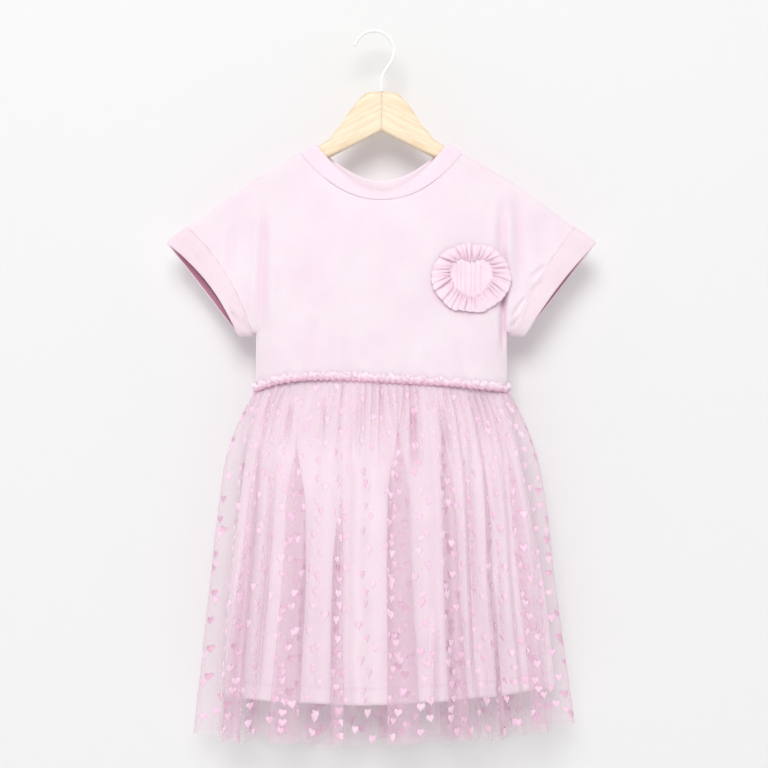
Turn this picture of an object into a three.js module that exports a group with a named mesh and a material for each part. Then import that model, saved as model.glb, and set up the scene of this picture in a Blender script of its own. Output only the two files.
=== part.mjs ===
// A toddler's party dress on a wooden hanger. Millimetres, +Z up, and the front faces -Y.
// The origin is the top of the inside of the hook, where it bears on a rail.
// A cloth piece is a sheet of points on the middle of the cloth, given its thickness on both sides.
import * as THREE from "three";

// Driving dimensions
const CENTRE_X = 8; // the dress hangs this far to the right of the hook's bearing point
const SEAM_GAP = 0.3;
const LAID_ON = 0.4; // space between a panel and a piece that lies on it
const JERSEY = 1.4; // wall of the bodice, cuffs and underskirt
const NET = 1.0; // wall of the overskirt, frill and pocket ruffle
const RIB = 2.0; // wall of the doubled neck band

// Hook and hanger
const WIRE = 4;
const HOOK_INSIDE = 19.75; // radius inside the bow
const HOOK_TIP_ANGLE = 162;
const HOOK_LEAVES_BOW = -30;
const HOOK_BEND = { fromX: 13.8, fromZ: -39.3, toZ: -44, endZ: -54 }; // pulls the bend down to the shank
const HANGER_HALF = 142;
const HANGER_THICK = 12;
const HANGER_ROUND = 4.6; // rounding of the wood's edges
const HANGER_BELOW_RIDGE = 3.6;
const HANGER_TIP = 8; // length of the rounded end
const HANGER_SLOPE = 0.51; // the underside falls this much for each step outwards
const HEAD_TOP_Z = -64;
const HEAD_BOTTOM_Z = -106.6;
const ARM_STATIONS = [64, 86, 110];
const TIP_TURNS = [30, 55, 80]; // degrees round the rounded end
const TIP_THINNER = 0.7; // share of the thickness that the tip's rounding takes
// The top of the hanger's head, from the middle outwards
const HEAD_PROFILE = [
  { x: SEAM_GAP / 2, z: HEAD_TOP_Z },
  { x: 12, z: -64.4 },
  { x: 18, z: -66.6 },
  { x: 24, z: -71.8 },
  { x: 35, z: -86.1 },
  { x: 43, z: -98.6 },
  { x: 52, z: -109 },
];

// Bodice: the ridge is the line where front and back meet over the hanger
const SHOULDER = { x: 142, z: -162, slope: 0.583 };
const SLEEVE_TIP = { x: 230, z: -226.8 };
const CUFF_TOP = { x: 208.5, z: -210.9 };
const SLEEVE_CORNER = { x: 153, z: -327 };
const CUFF_OFF = 0.8;
const CUFF_BOTTOM = { x: 139, z: -325.4 };
const UNDERARM = { x: 135, z: -325 };
const RIDGE_ROUND = 8;
const SWELL_LENGTH = 120; // the cloth reaches its full depth this far below the ridge
const SEAM_ROUND = 40; // rounding of the cloth beside the side and underarm seams
const SLEEVE_DEPTH = 14;
const SLEEVE_FROM = { start: 105, end: 150 }; // the chest's depth passes into the sleeve's
const ARM_CREASE = { topX: 130, topZ: -195, bottomZ: -316, depth: 3.5, width: 9, fade: 24 };
const WAIST_SIDE_Z = -389;
const WAIST_ARCH = { rise: 11, lean: 0.6, power: 4 }; // the seam's middle stands higher, most on the left
const FRONT = { side: -1, depth: 20, neckDrop: 51.8, hemBow: 9 };
const BACK = { side: 1, depth: 13.5, neckDrop: 43.5, hemBow: 0 };
const HEM_SAG = { front: 10, back: 18 }; // how far a skirt's hem hangs lower in the middle than at its sides
const HEM_TILT = 5; // and higher on the right side than in the middle

// Neck band
const NECK_SEAM_X = 88;
const NECK_EDGE_X = 70.7;
const NECK_POWER = 2.15;
const BAND = {
  front: { edgeDrop: 51, lean: 8 },
  back: { edgeDrop: 38.6, lean: 2 },
};
const BAND_LEAN_WITHIN = 48; // the band leans in only between the hanger's arms
const BAND_BULGE = 0.8;
const BAND_FROM_SEAM = 1.3;
const BAND_EDGE_POWER = 1.85;
const BAND_STEP = 9; // degrees

// Rows down the bodice: round the ridge, on to the underarm, then to the waist
const RIDGE_STEP = 30;
const RIDGE_ROWS = 3;
const BODY_SHARES = [0.14, 0.3, 0.47, 0.64, 0.79, 0.91, 0.975, 1];
const WAIST_ROWS = 4;
const NECK_ANGLES = [0, 15, 30, 45, 60, 75, 90]; // columns, evenly round the neck's curve
const FLANK_ANGLES = [18, 36, 54, 72, 90]; // and ever closer towards the side seam
const SLEEVE_COLUMNS = [0, 0.34, 0.68, 1];
const CUFF_COLUMNS = [0, 0.5, 1];

// Skirts: each section is a drop below the waist, its middle, the outline's half width and the depths of its
// front and back valleys, with the height of a full fold
const UNDERSKIRT = [
  { drop: 0.4, middle: 0, half: 135, front: 19.6, back: 13.1, fold: 0.3 },
  { drop: 60, middle: 1, half: 146, front: 21, back: 14, fold: 2 },
  { drop: 130, middle: 3, half: 157, front: 22, back: 15, fold: 4.5 },
  { drop: 230, middle: 6, half: 171, front: 23.5, back: 16, fold: 7 },
  { drop: 322, middle: 9, half: 178, front: 25, back: 17, fold: 9 },
];
const OVERSKIRT = [
  { drop: 1, middle: 0, half: 139, front: 22.4, back: 15.9, fold: 2 },
  { drop: 30, middle: 0, half: 154, front: 27, back: 19, fold: 5 },
  { drop: 62, middle: 0, half: 166, front: 30, back: 21, fold: 8 },
  { drop: 115, middle: 1, half: 176, front: 32, back: 23, fold: 11 },
  { drop: 200, middle: 1, half: 186, front: 35, back: 26, fold: 14 },
  { drop: 290, middle: 2, half: 197, front: 38, back: 29, fold: 16 },
  { drop: 362, middle: 3, half: 206, front: 41, back: 31, fold: 18 },
];
// Folds across a panel: where the valley on the left of each one lies, as a share of the half width, and its
// height. Between the last valley and the side seam stands half a fold, which the other panel completes.
const UNDERSKIRT_FRONT_FOLDS = [
  { valley: -0.86, crest: 0.7 },
  { valley: -0.5, crest: 1 },
  { valley: 0.19, crest: 0.5 },
  { valley: 0.52, crest: 0.9 },
  { valley: 0.86 },
];
const UNDERSKIRT_BACK_FOLDS = [
  { valley: -0.86, crest: 0.8 },
  { valley: -0.5, crest: 0.6 },
  { valley: -0.04, crest: 1 },
  { valley: 0.5, crest: 0.7 },
  { valley: 0.86 },
];
const OVERSKIRT_FRONT_FOLDS = [
  { valley: -0.95, crest: 0.9 },
  { valley: -0.84, crest: 1 },
  { valley: -0.71, crest: 0.3 },
  { valley: -0.45, crest: 1 },
  { valley: -0.26, crest: 0.75 },
  { valley: 0, crest: 0.6 },
  { valley: 0.24, crest: 1 },
  { valley: 0.44, crest: 0.85 },
  { valley: 0.56, crest: 0.9 },
  { valley: 0.69, crest: 0.8 },
  { valley: 0.82, crest: 0.9 },
  { valley: 0.95 },
];
const OVERSKIRT_BACK_FOLDS = [
  { valley: -0.95, crest: 0.9 },
  { valley: -0.82, crest: 0.8 },
  { valley: -0.66, crest: 1 },
  { valley: -0.47, crest: 0.6 },
  { valley: -0.26, crest: 0.9 },
  { valley: -0.06, crest: 1 },
  { valley: 0.12, crest: 0.5 },
  { valley: 0.33, crest: 0.9 },
  { valley: 0.5, crest: 1 },
  { valley: 0.66, crest: 0.7 },
  { valley: 0.81, crest: 0.9 },
  { valley: 0.95 },
];
const ROUND_ENDS = 0.8; // power of the cosine in a skirt's section: below 1 squares its ends
const UNDERSKIRT_STEPS = 6; // columns in a fold
const OVERSKIRT_STEPS = 5;
const SIDE_STEPS = 3; // in the half fold at a side seam

// Frill at the waist
const FRILL = { waves: 92, steps: 4, height: 12.5, offset: 3.1, wave: 1.2, flare: 0.8, lift: 0.45 };

// Heart pocket and its ruffle
const POCKET = { x: 96, z: -266, half: 25.5, waistZ: 4, lobe: 18, point: 27, columns: 20, rows: 3 };
const LOBE_AT = 0.48;
const LOBE_SPREAD = 0.75;
const POCKET_SHARPNESS = { across: 1.9, round: 0.75 };
const POCKET_WALL = 1.2;
const TUCK = 0.7;
const RUFFLE = {
  waves: 30,
  steps: 4,
  start: 1.047, // its inner edge is the heart's outline, this much larger
  halfWidth: 42,
  halfHeight: 37.5,
  lift: 3.6,
  wave: 2,
  scallop: 0.7,
  bridgesX: 112, // past here it stands clear of the cloth, which falls back
  clear: 0.8, // above the cloth at its inner edge, besides the space that a laid piece has
};

const LOOKS = {
  jersey: { color: 0xfbe6f1, roughness: 0.9 },
  net: { color: 0xf0cfe0, roughness: 0.75 },
  frill: { color: 0xf2cadb, roughness: 0.85 },
  wood: { color: 0xf3d9ab, roughness: 0.55 },
  wire: { color: 0xf4f4f2, roughness: 0.4 },
};

const radians = (degrees) => (degrees * Math.PI) / 180;
const mix = (a, b, t) => a + (b - a) * t;

function smooth(t) {
  const c = Math.min(1, Math.max(0, t));
  return c * c * (3 - 2 * c);
}

// The part of a round corner's depth that is reached at a share of its radius.
const quarterRound = (share) => Math.sqrt(1 - (1 - Math.min(1, Math.max(0, share))) ** 2);

// A sheet of points, joined where they meet, that becomes a closed wall.
class Sheet {
  constructor() {
    this.points = [];
    this.faces = [];
    this.places = new Map();
  }

  place(p) {
    const key = [p.x, p.y, p.z].map((v) => Math.round(v * 1000)).join();
    if (!this.places.has(key)) {
      this.places.set(key, this.points.length);
      this.points.push(p);
    }
    return this.places.get(key);
  }

  // columns[i][j]: j runs down the cloth and i runs to the right of somebody who faces its outside.
  grid(columns, closed = false) {
    const last = columns.length - (closed ? 0 : 1);
    for (let i = 0; i < last; i++) {
      const left = columns[i];
      const right = columns[(i + 1) % columns.length];
      for (let j = 0; j + 1 < left.length; j++) {
        const corners = [left[j], left[j + 1], right[j + 1], right[j]].map((p) => this.place(p));
        this.face(corners[0], corners[1], corners[2]);
        this.face(corners[0], corners[2], corners[3]);
      }
    }
    return this;
  }

  face(a, b, c) {
    if (a !== b && b !== c && c !== a) this.faces.push([a, b, c]);
  }

  normals() {
    const sums = this.points.map(() => new THREE.Vector3());
    for (const [a, b, c] of this.faces) {
      const ab = this.points[b].clone().sub(this.points[a]);
      const ac = this.points[c].clone().sub(this.points[a]);
      const area = ab.cross(ac);
      for (const k of [a, b, c]) sums[k].add(area);
    }
    return sums.map((n, k) => {
      if (Math.abs(this.points[k].y) < SEAM_GAP) n.y = 0; // a seam's edge is square to the other panel's
      return n.normalize();
    });
  }

  // The wall from one distance along the normals to another; raised(k) adds to a point's outside.
  wall(inner, outer, raised = () => 0) {
    const normals = this.normals();
    const inside = this.points.map((p, k) => p.clone().addScaledVector(normals[k], inner));
    const outside = this.points.map((p, k) => p.clone().addScaledVector(normals[k], outer + raised(k)));
    const count = this.points.length;
    const index = [];
    const edges = new Set();
    for (const [a, b, c] of this.faces) {
      index.push(a, b, c, count + c, count + b, count + a);
      for (const [u, v] of [[a, b], [b, c], [c, a]]) edges.add(u + "," + v);
    }
    for (const edge of edges) {
      const [u, v] = edge.split(",").map(Number);
      if (!edges.has(v + "," + u)) index.push(v, u, count + u, v, count + u, count + v);
    }
    const geometry = new THREE.BufferGeometry();
    geometry.setFromPoints([...outside, ...inside]);
    geometry.setIndex(index);
    geometry.computeVertexNormals();
    return geometry;
  }
}

function named(name, geometry, { color, roughness }) {
  const mesh = new THREE.Mesh(geometry, new THREE.MeshStandardMaterial({ color, roughness, metalness: 0 }));
  mesh.name = name;
  return mesh;
}

// Bodice surface

function ridgeZ(x) {
  const out = Math.abs(x) - SHOULDER.x;
  const sleeveSlope = (SHOULDER.z - SLEEVE_TIP.z) / (SLEEVE_TIP.x - SHOULDER.x);
  return out < 0 ? SHOULDER.z - SHOULDER.slope * out : SHOULDER.z - sleeveSlope * out;
}

function waistZ(x) {
  const share = Math.min(1, Math.max(-1, x / UNDERARM.x));
  const rise = WAIST_ARCH.rise * (1 - WAIST_ARCH.lean * share);
  return WAIST_SIDE_Z + rise * (1 - share ** WAIST_ARCH.power);
}

// Distance from the underarm seam, which runs from the sleeve's corner to the underarm and down the side.
function seamDistance(x, z) {
  const along = new THREE.Vector2(SLEEVE_CORNER.x - UNDERARM.x, SLEEVE_CORNER.z - UNDERARM.z);
  const from = new THREE.Vector2(Math.abs(x) - UNDERARM.x, z - UNDERARM.z);
  const share = Math.min(1, Math.max(0, from.dot(along) / along.lengthSq()));
  const toSleeveSeam = from.clone().addScaledVector(along, -share).length();
  const toSideSeam = z < UNDERARM.z ? Math.abs(from.x) : from.length();
  return Math.min(toSleeveSeam, toSideSeam);
}

function armCrease(x, z) {
  const share = (ARM_CREASE.topZ - z) / (ARM_CREASE.topZ - ARM_CREASE.bottomZ);
  const centre = mix(ARM_CREASE.topX, UNDERARM.x, share);
  const fadeIn = smooth((ARM_CREASE.topZ - z) / ARM_CREASE.fade);
  const fadeOut = smooth((z - ARM_CREASE.bottomZ) / ARM_CREASE.fade);
  return ARM_CREASE.depth * fadeIn * fadeOut * Math.exp(-(((Math.abs(x) - centre) / ARM_CREASE.width) ** 2));
}

// How far a panel's cloth lies in front of or behind the plane of its seams.
function halfDepth(panel, x, z) {
  const drop = Math.max(0, ridgeZ(x) - z);
  const sleeve = smooth((Math.abs(x) - SLEEVE_FROM.start) / (SLEEVE_FROM.end - SLEEVE_FROM.start));
  const full = mix(panel.depth, Math.min(SLEEVE_DEPTH, panel.depth), sleeve);
  const swell = (full - RIDGE_ROUND) * smooth((drop - RIDGE_ROUND) / SWELL_LENGTH);
  const overRidge = RIDGE_ROUND * quarterRound(drop / RIDGE_ROUND) + swell;
  return overRidge * quarterRound(seamDistance(x, z) / SEAM_ROUND) - armCrease(x, z);
}

function bodicePoint(panel, x, z) {
  return new THREE.Vector3(x, panel.side * (SEAM_GAP / 2 + Math.max(0, halfDepth(panel, x, z))), z);
}

function neckZ(panel, x) {
  return ridgeZ(NECK_SEAM_X) - panel.neckDrop * (1 - (Math.abs(x) / NECK_SEAM_X) ** NECK_POWER);
}

// Shares of the way down a line of that length, close together where the cloth turns over the ridge.
function rowShares(length) {
  const shares = [];
  for (let j = 0; j <= RIDGE_ROWS; j++) {
    shares.push((RIDGE_ROUND * (1 - Math.cos(radians(RIDGE_STEP * j)))) / length);
  }
  for (const share of BODY_SHARES) shares.push(mix(RIDGE_ROUND / length, 1, share));
  return shares;
}

// The columns of the chest, from the centre to the side: even round the neck, then closer towards the seam.
function chestColumns() {
  const neck = NECK_ANGLES.map((a) => NECK_SEAM_X * Math.sin(radians(a)));
  const flank = FLANK_ANGLES.map((a) => mix(NECK_SEAM_X, UNDERARM.x, Math.sin(radians(a))));
  const half = [...neck, ...flank];
  return [...half.slice(1).reverse().map((x) => -x), ...half];
}

// A line down the sleeve from the ridge to the underarm seam, bowed in by the hem's curve.
function sleeveLine(panel, side, top, bottom, bow) {
  const length = Math.hypot(top.x - bottom.x, top.z - bottom.z);
  const inX = -(top.z - bottom.z) / length;
  const inZ = (top.x - bottom.x) / length;
  return rowShares(length).map((t) => {
    const push = bow * 4 * t * (1 - t);
    const x = mix(top.x, bottom.x, t) + inX * push;
    return bodicePoint(panel, side * x, mix(top.z, bottom.z, t) + inZ * push);
  });
}

// From the chest's edge out to the cuff's upper edge, then to the hem.
function sleeveColumns(panel, side) {
  const innerTop = { x: UNDERARM.x, z: ridgeZ(UNDERARM.x) };
  const columns = SLEEVE_COLUMNS.map((s) => {
    const x = mix(innerTop.x, CUFF_TOP.x, s);
    const bottom = { x: mix(UNDERARM.x, CUFF_BOTTOM.x, s), z: mix(UNDERARM.z, CUFF_BOTTOM.z, s) };
    return sleeveLine(panel, side, { x, z: ridgeZ(x) }, bottom, panel.hemBow * s);
  });
  return [...columns, ...cuffColumns(panel, side).slice(1)];
}

function cuffColumns(panel, side) {
  return CUFF_COLUMNS.map((s) => {
    const top = { x: mix(CUFF_TOP.x, SLEEVE_TIP.x, s), z: mix(CUFF_TOP.z, SLEEVE_TIP.z, s) };
    const bottom = { x: mix(CUFF_BOTTOM.x, SLEEVE_CORNER.x, s), z: mix(CUFF_BOTTOM.z, SLEEVE_CORNER.z, s) };
    return sleeveLine(panel, side, top, bottom, panel.hemBow);
  });
}

function bodicePanel(panel) {
  const chest = chestColumns().map((x) => {
    const top = Math.abs(x) < NECK_SEAM_X ? neckZ(panel, x) : ridgeZ(x);
    const upper = rowShares(top - UNDERARM.z).map((t) => bodicePoint(panel, x, mix(top, UNDERARM.z, t)));
    const bottom = waistZ(x) + SEAM_GAP / 2;
    for (let j = 1; j <= WAIST_ROWS; j++) {
      upper.push(bodicePoint(panel, x, mix(UNDERARM.z, bottom, j / WAIST_ROWS)));
    }
    return upper;
  });
  const order = (columns) => (panel.side < 0 ? columns : [...columns].reverse());
  const sheet = new Sheet().grid(order(chest));
  sheet.grid(order(sleeveColumns(panel, 1)));
  sheet.grid(order(sleeveColumns(panel, -1).reverse()));
  return sheet.wall(-JERSEY / 2, JERSEY / 2);
}

// The turned-up cuff lies on the sleeve: the sleeve's own points, moved out.
function cuff(side) {
  const sheet = new Sheet();
  for (const panel of [FRONT, BACK]) {
    const lines = cuffColumns(panel, side);
    for (const line of lines) {
      line[0].y = 0;
      line.at(-1).y = 0;
    }
    sheet.grid(side * panel.side < 0 ? lines : lines.reverse());
  }
  const clear = JERSEY / 2 + CUFF_OFF;
  return sheet.wall(clear, clear + JERSEY);
}

// One station of the neck band: the seam, the band's middle and its free edge.
function bandColumn(panel, facts, angle) {
  const s = Math.sin(angle);
  const seamX = NECK_SEAM_X * s;
  const seamZ = neckZ(panel, seamX);
  const edgeX = NECK_EDGE_X * s;
  const edgeZ = ridgeZ(NECK_EDGE_X) - facts.edgeDrop * (1 - Math.abs(s) ** BAND_EDGE_POWER);
  const lean = facts.lean * Math.max(0, 1 - (edgeX / BAND_LEAN_WITHIN) ** 2) ** 1.5;
  const seam = bodicePoint(panel, seamX, seamZ);
  const edge = bodicePoint(panel, edgeX, edgeZ);
  edge.y -= panel.side * lean;
  const away = edge.clone().sub(seam).normalize();
  seam.addScaledVector(away, BAND_FROM_SEAM);
  const middle = seam.clone().lerp(edge, 0.5);
  const drop = bodicePoint(panel, middle.x, middle.z);
  middle.y = mix(drop.y, middle.y, 0.5) + panel.side * BAND_BULGE;
  if (Math.abs(s) > 0.9999) {
    for (const p of [seam, middle, edge]) p.y = 0;
    middle.z += BAND_BULGE;
  }
  return [edge, middle, seam];
}

function neckBand() {
  const angles = [];
  for (let a = -90; a < 90; a += BAND_STEP) angles.push(radians(a));
  const front = angles.map((a) => bandColumn(FRONT, BAND.front, a));
  const back = angles.map((a) => bandColumn(BACK, BAND.back, -a));
  return new Sheet().grid([...front, ...back], true).wall(-RIB / 2, RIB / 2);
}

// Skirts

// A point on a skirt panel: across is the sine of its angle round the section, swell its share of a fold.
function skirtPoint(panel, row, share, { across, swell }) {
  const half = row.half - row.fold;
  const depth = panel.side < 0 ? row.front : row.back;
  const cosine = Math.sqrt(Math.max(0, 1 - across * across));
  const out = new THREE.Vector2(depth * across, half * cosine).normalize();
  const x = row.middle + half * across + out.x * row.fold * swell;
  const y = SEAM_GAP / 2 + depth * cosine ** ROUND_ENDS + out.y * row.fold * swell;
  const sag = panel.side < 0 ? HEM_SAG.front : HEM_SAG.back;
  const line = mix(waistZ(x), WAIST_SIDE_Z - sag * (1 - across * across), share);
  const z = line + HEM_TILT * across * share - SEAM_GAP / 2 - row.drop;
  return new THREE.Vector3(x, panel.side * y, z);
}

// Where a panel's columns stand, from its left seam to its right one.
function foldStations(folds, steps) {
  const stations = [];
  const swellUp = (phase) => Math.sin((Math.PI * phase) / 2) ** 2;
  for (let k = 0; k < SIDE_STEPS; k++) {
    const phase = k / SIDE_STEPS;
    stations.push({ across: mix(-1, folds[0].valley, phase ** 2), swell: swellUp(1 - phase) });
  }
  for (let i = 0; i + 1 < folds.length; i++) {
    for (let k = 0; k < steps; k++) {
      const phase = k / steps;
      const across = mix(folds[i].valley, folds[i + 1].valley, phase);
      stations.push({ across, swell: folds[i].crest * Math.sin(Math.PI * phase) ** 2 });
    }
  }
  for (let k = SIDE_STEPS; k >= 0; k--) {
    const phase = k / SIDE_STEPS;
    stations.push({ across: mix(1, folds.at(-1).valley, phase ** 2), swell: swellUp(1 - phase) });
  }
  return stations;
}

function skirtPanel(panel, { table, steps, thickness }, folds) {
  const length = table.at(-1).drop - table[0].drop;
  const columns = foldStations(folds, steps).map((station) =>
    table.map((row) => skirtPoint(panel, row, (row.drop - table[0].drop) / length, station)),
  );
  if (panel.side > 0) columns.reverse();
  return new Sheet().grid(columns).wall(-thickness / 2, thickness / 2);
}

// The frill stands up from the waist seam, outside the bodice.

function waistRing() {
  const ring = [];
  for (let a = -90; a < 90; a += 3) {
    const x = UNDERARM.x * Math.sin(radians(a));
    ring.push(bodicePoint(FRONT, x, waistZ(x)));
  }
  for (let a = 90; a > -90; a -= 3) {
    const x = UNDERARM.x * Math.sin(radians(a));
    ring.push(bodicePoint(BACK, x, waistZ(x)));
  }
  return ring;
}

// Points at even distances along a closed ring, each with the ring's outward direction seen from above.
function evenStations(ring, count) {
  const path = new THREE.CatmullRomCurve3(ring, true, "centripetal");
  path.arcLengthDivisions = ring.length * 8;
  path.updateArcLengths();
  return Array.from({ length: count }, (_, k) => {
    const along = path.getTangentAt(k / count);
    return { at: path.getPointAt(k / count), out: new THREE.Vector3(along.y, -along.x, 0).normalize() };
  });
}

function frill() {
  const stations = evenStations(waistRing(), FRILL.waves * FRILL.steps);
  const columns = stations.map(({ at, out }, k) => {
    const wave = FRILL.wave * Math.cos((2 * Math.PI * k) / FRILL.steps);
    const bottom = at.clone().addScaledVector(out, FRILL.offset + wave);
    const top = at.clone().addScaledVector(out, FRILL.offset + wave + FRILL.flare);
    bottom.z += FRILL.lift;
    top.z += FRILL.height;
    return [top, bottom];
  });
  return new Sheet().grid(columns, true).wall(-NET / 2, NET / 2);
}

// Heart pocket: heights of its outline over its centre, at a share of its half width

function heartTop(u) {
  const away = Math.abs(u) - LOBE_AT;
  const spread = away > 0 ? 1 - LOBE_AT : LOBE_SPREAD;
  return POCKET.waistZ + POCKET.lobe * Math.sqrt(Math.max(0, 1 - (away / spread) ** 2));
}

function heartBottom(u) {
  const { across, round } = POCKET_SHARPNESS;
  return POCKET.waistZ - POCKET.point * Math.max(0, 1 - Math.abs(u) ** across) ** round;
}

function pocketPatch() {
  const columns = [];
  for (let i = 0; i <= POCKET.columns; i++) {
    const u = mix(-1, 1, i / POCKET.columns);
    const x = POCKET.x + POCKET.half * u;
    const column = [];
    for (let j = 0; j <= POCKET.rows; j++) {
      const z = POCKET.z + mix(heartTop(u), heartBottom(u), j / POCKET.rows);
      column.push(bodicePoint(FRONT, x, z));
    }
    columns.push(column);
  }
  const sheet = new Sheet().grid(columns);
  const step = (2 * POCKET.half) / POCKET.columns;
  const tuckAt = (x) => Math.round((x - POCKET.x + POCKET.half) / step) % 2;
  const clear = JERSEY / 2 + LAID_ON;
  return sheet.wall(clear, clear + POCKET_WALL, (k) => TUCK * tuckAt(sheet.points[k].x));
}

// The ruffle runs from the pocket's edge to a rounder outline, and its waves grow on the way.
function pocketRuffle() {
  const count = RUFFLE.waves * RUFFLE.steps;
  const columns = [];
  for (let k = 0; k < count; k++) {
    const angle = (2 * Math.PI * k) / count;
    const u = Math.sin(angle);
    const heart = Math.cos(angle) > 0 ? heartTop(u) : heartBottom(u);
    const wave = Math.cos((2 * Math.PI * k) / RUFFLE.steps);
    const grow = RUFFLE.scallop * wave;
    const column = [0, 0.5, 1].map((w) => {
      const inner = new THREE.Vector2(POCKET.half * u, heart).multiplyScalar(RUFFLE.start);
      const outer = new THREE.Vector2(RUFFLE.halfWidth + grow, RUFFLE.halfHeight + grow);
      outer.multiply(new THREE.Vector2(u, Math.cos(angle)));
      const flat = inner.lerp(outer, w);
      const x = POCKET.x + flat.x;
      const z = POCKET.z + flat.y;
      const base = bodicePoint(FRONT, Math.min(x, RUFFLE.bridgesX), z);
      const off = JERSEY / 2 + LAID_ON + RUFFLE.clear + w * (RUFFLE.lift + RUFFLE.wave * wave);
      return new THREE.Vector3(x, base.y - off, z);
    });
    columns.push(column.reverse());
  }
  return new Sheet().grid(columns, true).wall(-NET / 2, NET / 2);
}

// Hook and hanger

function hookPath() {
  const radius = HOOK_INSIDE + WIRE / 2;
  const at = (degrees) => {
    const a = radians(degrees);
    return new THREE.Vector3(radius * Math.cos(a), 0, radius * Math.sin(a) - HOOK_INSIDE);
  };
  const points = [];
  for (let a = HOOK_TIP_ANGLE; a >= HOOK_LEAVES_BOW; a -= 12) points.push(at(a));
  const end = new THREE.Vector3(CENTRE_X, 0, HEAD_TOP_Z + SEAM_GAP);
  const bend = new THREE.CubicBezierCurve3(
    at(HOOK_LEAVES_BOW),
    new THREE.Vector3(HOOK_BEND.fromX, 0, HOOK_BEND.fromZ),
    new THREE.Vector3(CENTRE_X, 0, HOOK_BEND.toZ),
    new THREE.Vector3(CENTRE_X, 0, HOOK_BEND.endZ),
  );
  points.push(...bend.getPoints(5).slice(1), end);
  return new THREE.CatmullRomCurve3(points, false, "centripetal");
}

function hook() {
  const ring = new THREE.Shape().absarc(0, 0, WIRE / 2, 0, 2 * Math.PI);
  return new THREE.ExtrudeGeometry(ring, { steps: 34, curveSegments: 8, extrudePath: hookPath() });
}

// A convex section of the hanger's arm, square to its length, with round corners.
function hangerSection(x, top, bottom, thick) {
  const round = Math.min(HANGER_ROUND, thick / 2.2, (top - bottom) / 2.2);
  const flatY = thick / 2 - round;
  const flatZ = (top - bottom) / 2 - round;
  const middle = (top + bottom) / 2;
  const ring = [];
  for (const corner of [0, 90, 180, 270]) {
    const y = flatY * (corner === 0 || corner === 270 ? 1 : -1);
    const z = middle + flatZ * (corner < 180 ? 1 : -1);
    for (const turn of [0, 30, 60, 90]) {
      const a = radians(corner + turn);
      ring.push(new THREE.Vector3(x, y + round * Math.cos(a), z + round * Math.sin(a)));
    }
  }
  return ring;
}

// The solid through a row of rings that run to the right of somebody who looks along it.
function loft(rings) {
  const sides = rings[0].length;
  const index = [];
  for (let i = 0; i + 1 < rings.length; i++) {
    for (let k = 0; k < sides; k++) {
      const [a, b] = [i * sides + k, i * sides + ((k + 1) % sides)];
      index.push(a, b, b + sides, a, b + sides, a + sides);
    }
  }
  const end = (rings.length - 1) * sides;
  for (let k = 1; k + 1 < sides; k++) index.push(0, k + 1, k, end, end + k, end + k + 1);
  const geometry = new THREE.BufferGeometry();
  geometry.setFromPoints(rings.flat());
  geometry.setIndex(index);
  geometry.computeVertexNormals();
  return geometry;
}

function hangerArm(side) {
  const bottom = (x) => HEAD_BOTTOM_Z - HANGER_SLOPE * x;
  const top = (x) => ridgeZ(x) - HANGER_BELOW_RIDGE;
  const rings = HEAD_PROFILE.map(({ x, z }) => hangerSection(x, z, bottom(x), HANGER_THICK));
  const tip = HANGER_HALF - HANGER_TIP;
  for (const x of [...ARM_STATIONS, tip]) rings.push(hangerSection(x, top(x), bottom(x), HANGER_THICK));
  const halfHeight = (top(tip) - bottom(tip)) / 2;
  for (const turn of TIP_TURNS) {
    const x = tip + HANGER_TIP * Math.sin(radians(turn));
    const share = Math.cos(radians(turn));
    const middle = (top(x) + bottom(x)) / 2;
    const reach = halfHeight * share;
    rings.push(hangerSection(x, middle + reach, middle - reach, HANGER_THICK * mix(1, share, TIP_THINNER)));
  }
  if (side > 0) return loft(rings);
  return loft(rings.map((ring) => ring.map((p) => new THREE.Vector3(-p.x, p.y, p.z)).reverse()));
}

const underskirt = { table: UNDERSKIRT, steps: UNDERSKIRT_STEPS, thickness: JERSEY };
const overskirt = { table: OVERSKIRT, steps: OVERSKIRT_STEPS, thickness: NET };

const dress = new THREE.Group();
dress.add(
  named("bodice_front", bodicePanel(FRONT), LOOKS.jersey),
  named("bodice_back", bodicePanel(BACK), LOOKS.jersey),
  named("neck_band", neckBand(), LOOKS.jersey),
  named("cuff_left", cuff(-1), LOOKS.jersey),
  named("cuff_right", cuff(1), LOOKS.jersey),
  named("pocket_heart", pocketPatch(), LOOKS.jersey),
  named("pocket_ruffle", pocketRuffle(), LOOKS.frill),
  named("waist_frill", frill(), LOOKS.frill),
  named("underskirt_front", skirtPanel(FRONT, underskirt, UNDERSKIRT_FRONT_FOLDS), LOOKS.jersey),
  named("underskirt_back", skirtPanel(BACK, underskirt, UNDERSKIRT_BACK_FOLDS), LOOKS.jersey),
  named("overskirt_front", skirtPanel(FRONT, overskirt, OVERSKIRT_FRONT_FOLDS), LOOKS.net),
  named("overskirt_back", skirtPanel(BACK, overskirt, OVERSKIRT_BACK_FOLDS), LOOKS.net),
  named("hanger_arm_left", hangerArm(-1), LOOKS.wood),
  named("hanger_arm_right", hangerArm(1), LOOKS.wood),
);
dress.position.x = CENTRE_X;

const part = new THREE.Group();
part.add(dress, named("hook", hook(), LOOKS.wire));

export default part;
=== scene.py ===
"""A toddler's party dress on a wooden hanger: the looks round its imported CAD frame.

Shapes are worked out in millimetres from the middle of the dress, with +Z up and the front facing -Y, and
become metres as they become meshes. Every surface is an array of points, by rows down the cloth and columns
across it.
"""

from collections import namedtuple

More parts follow.
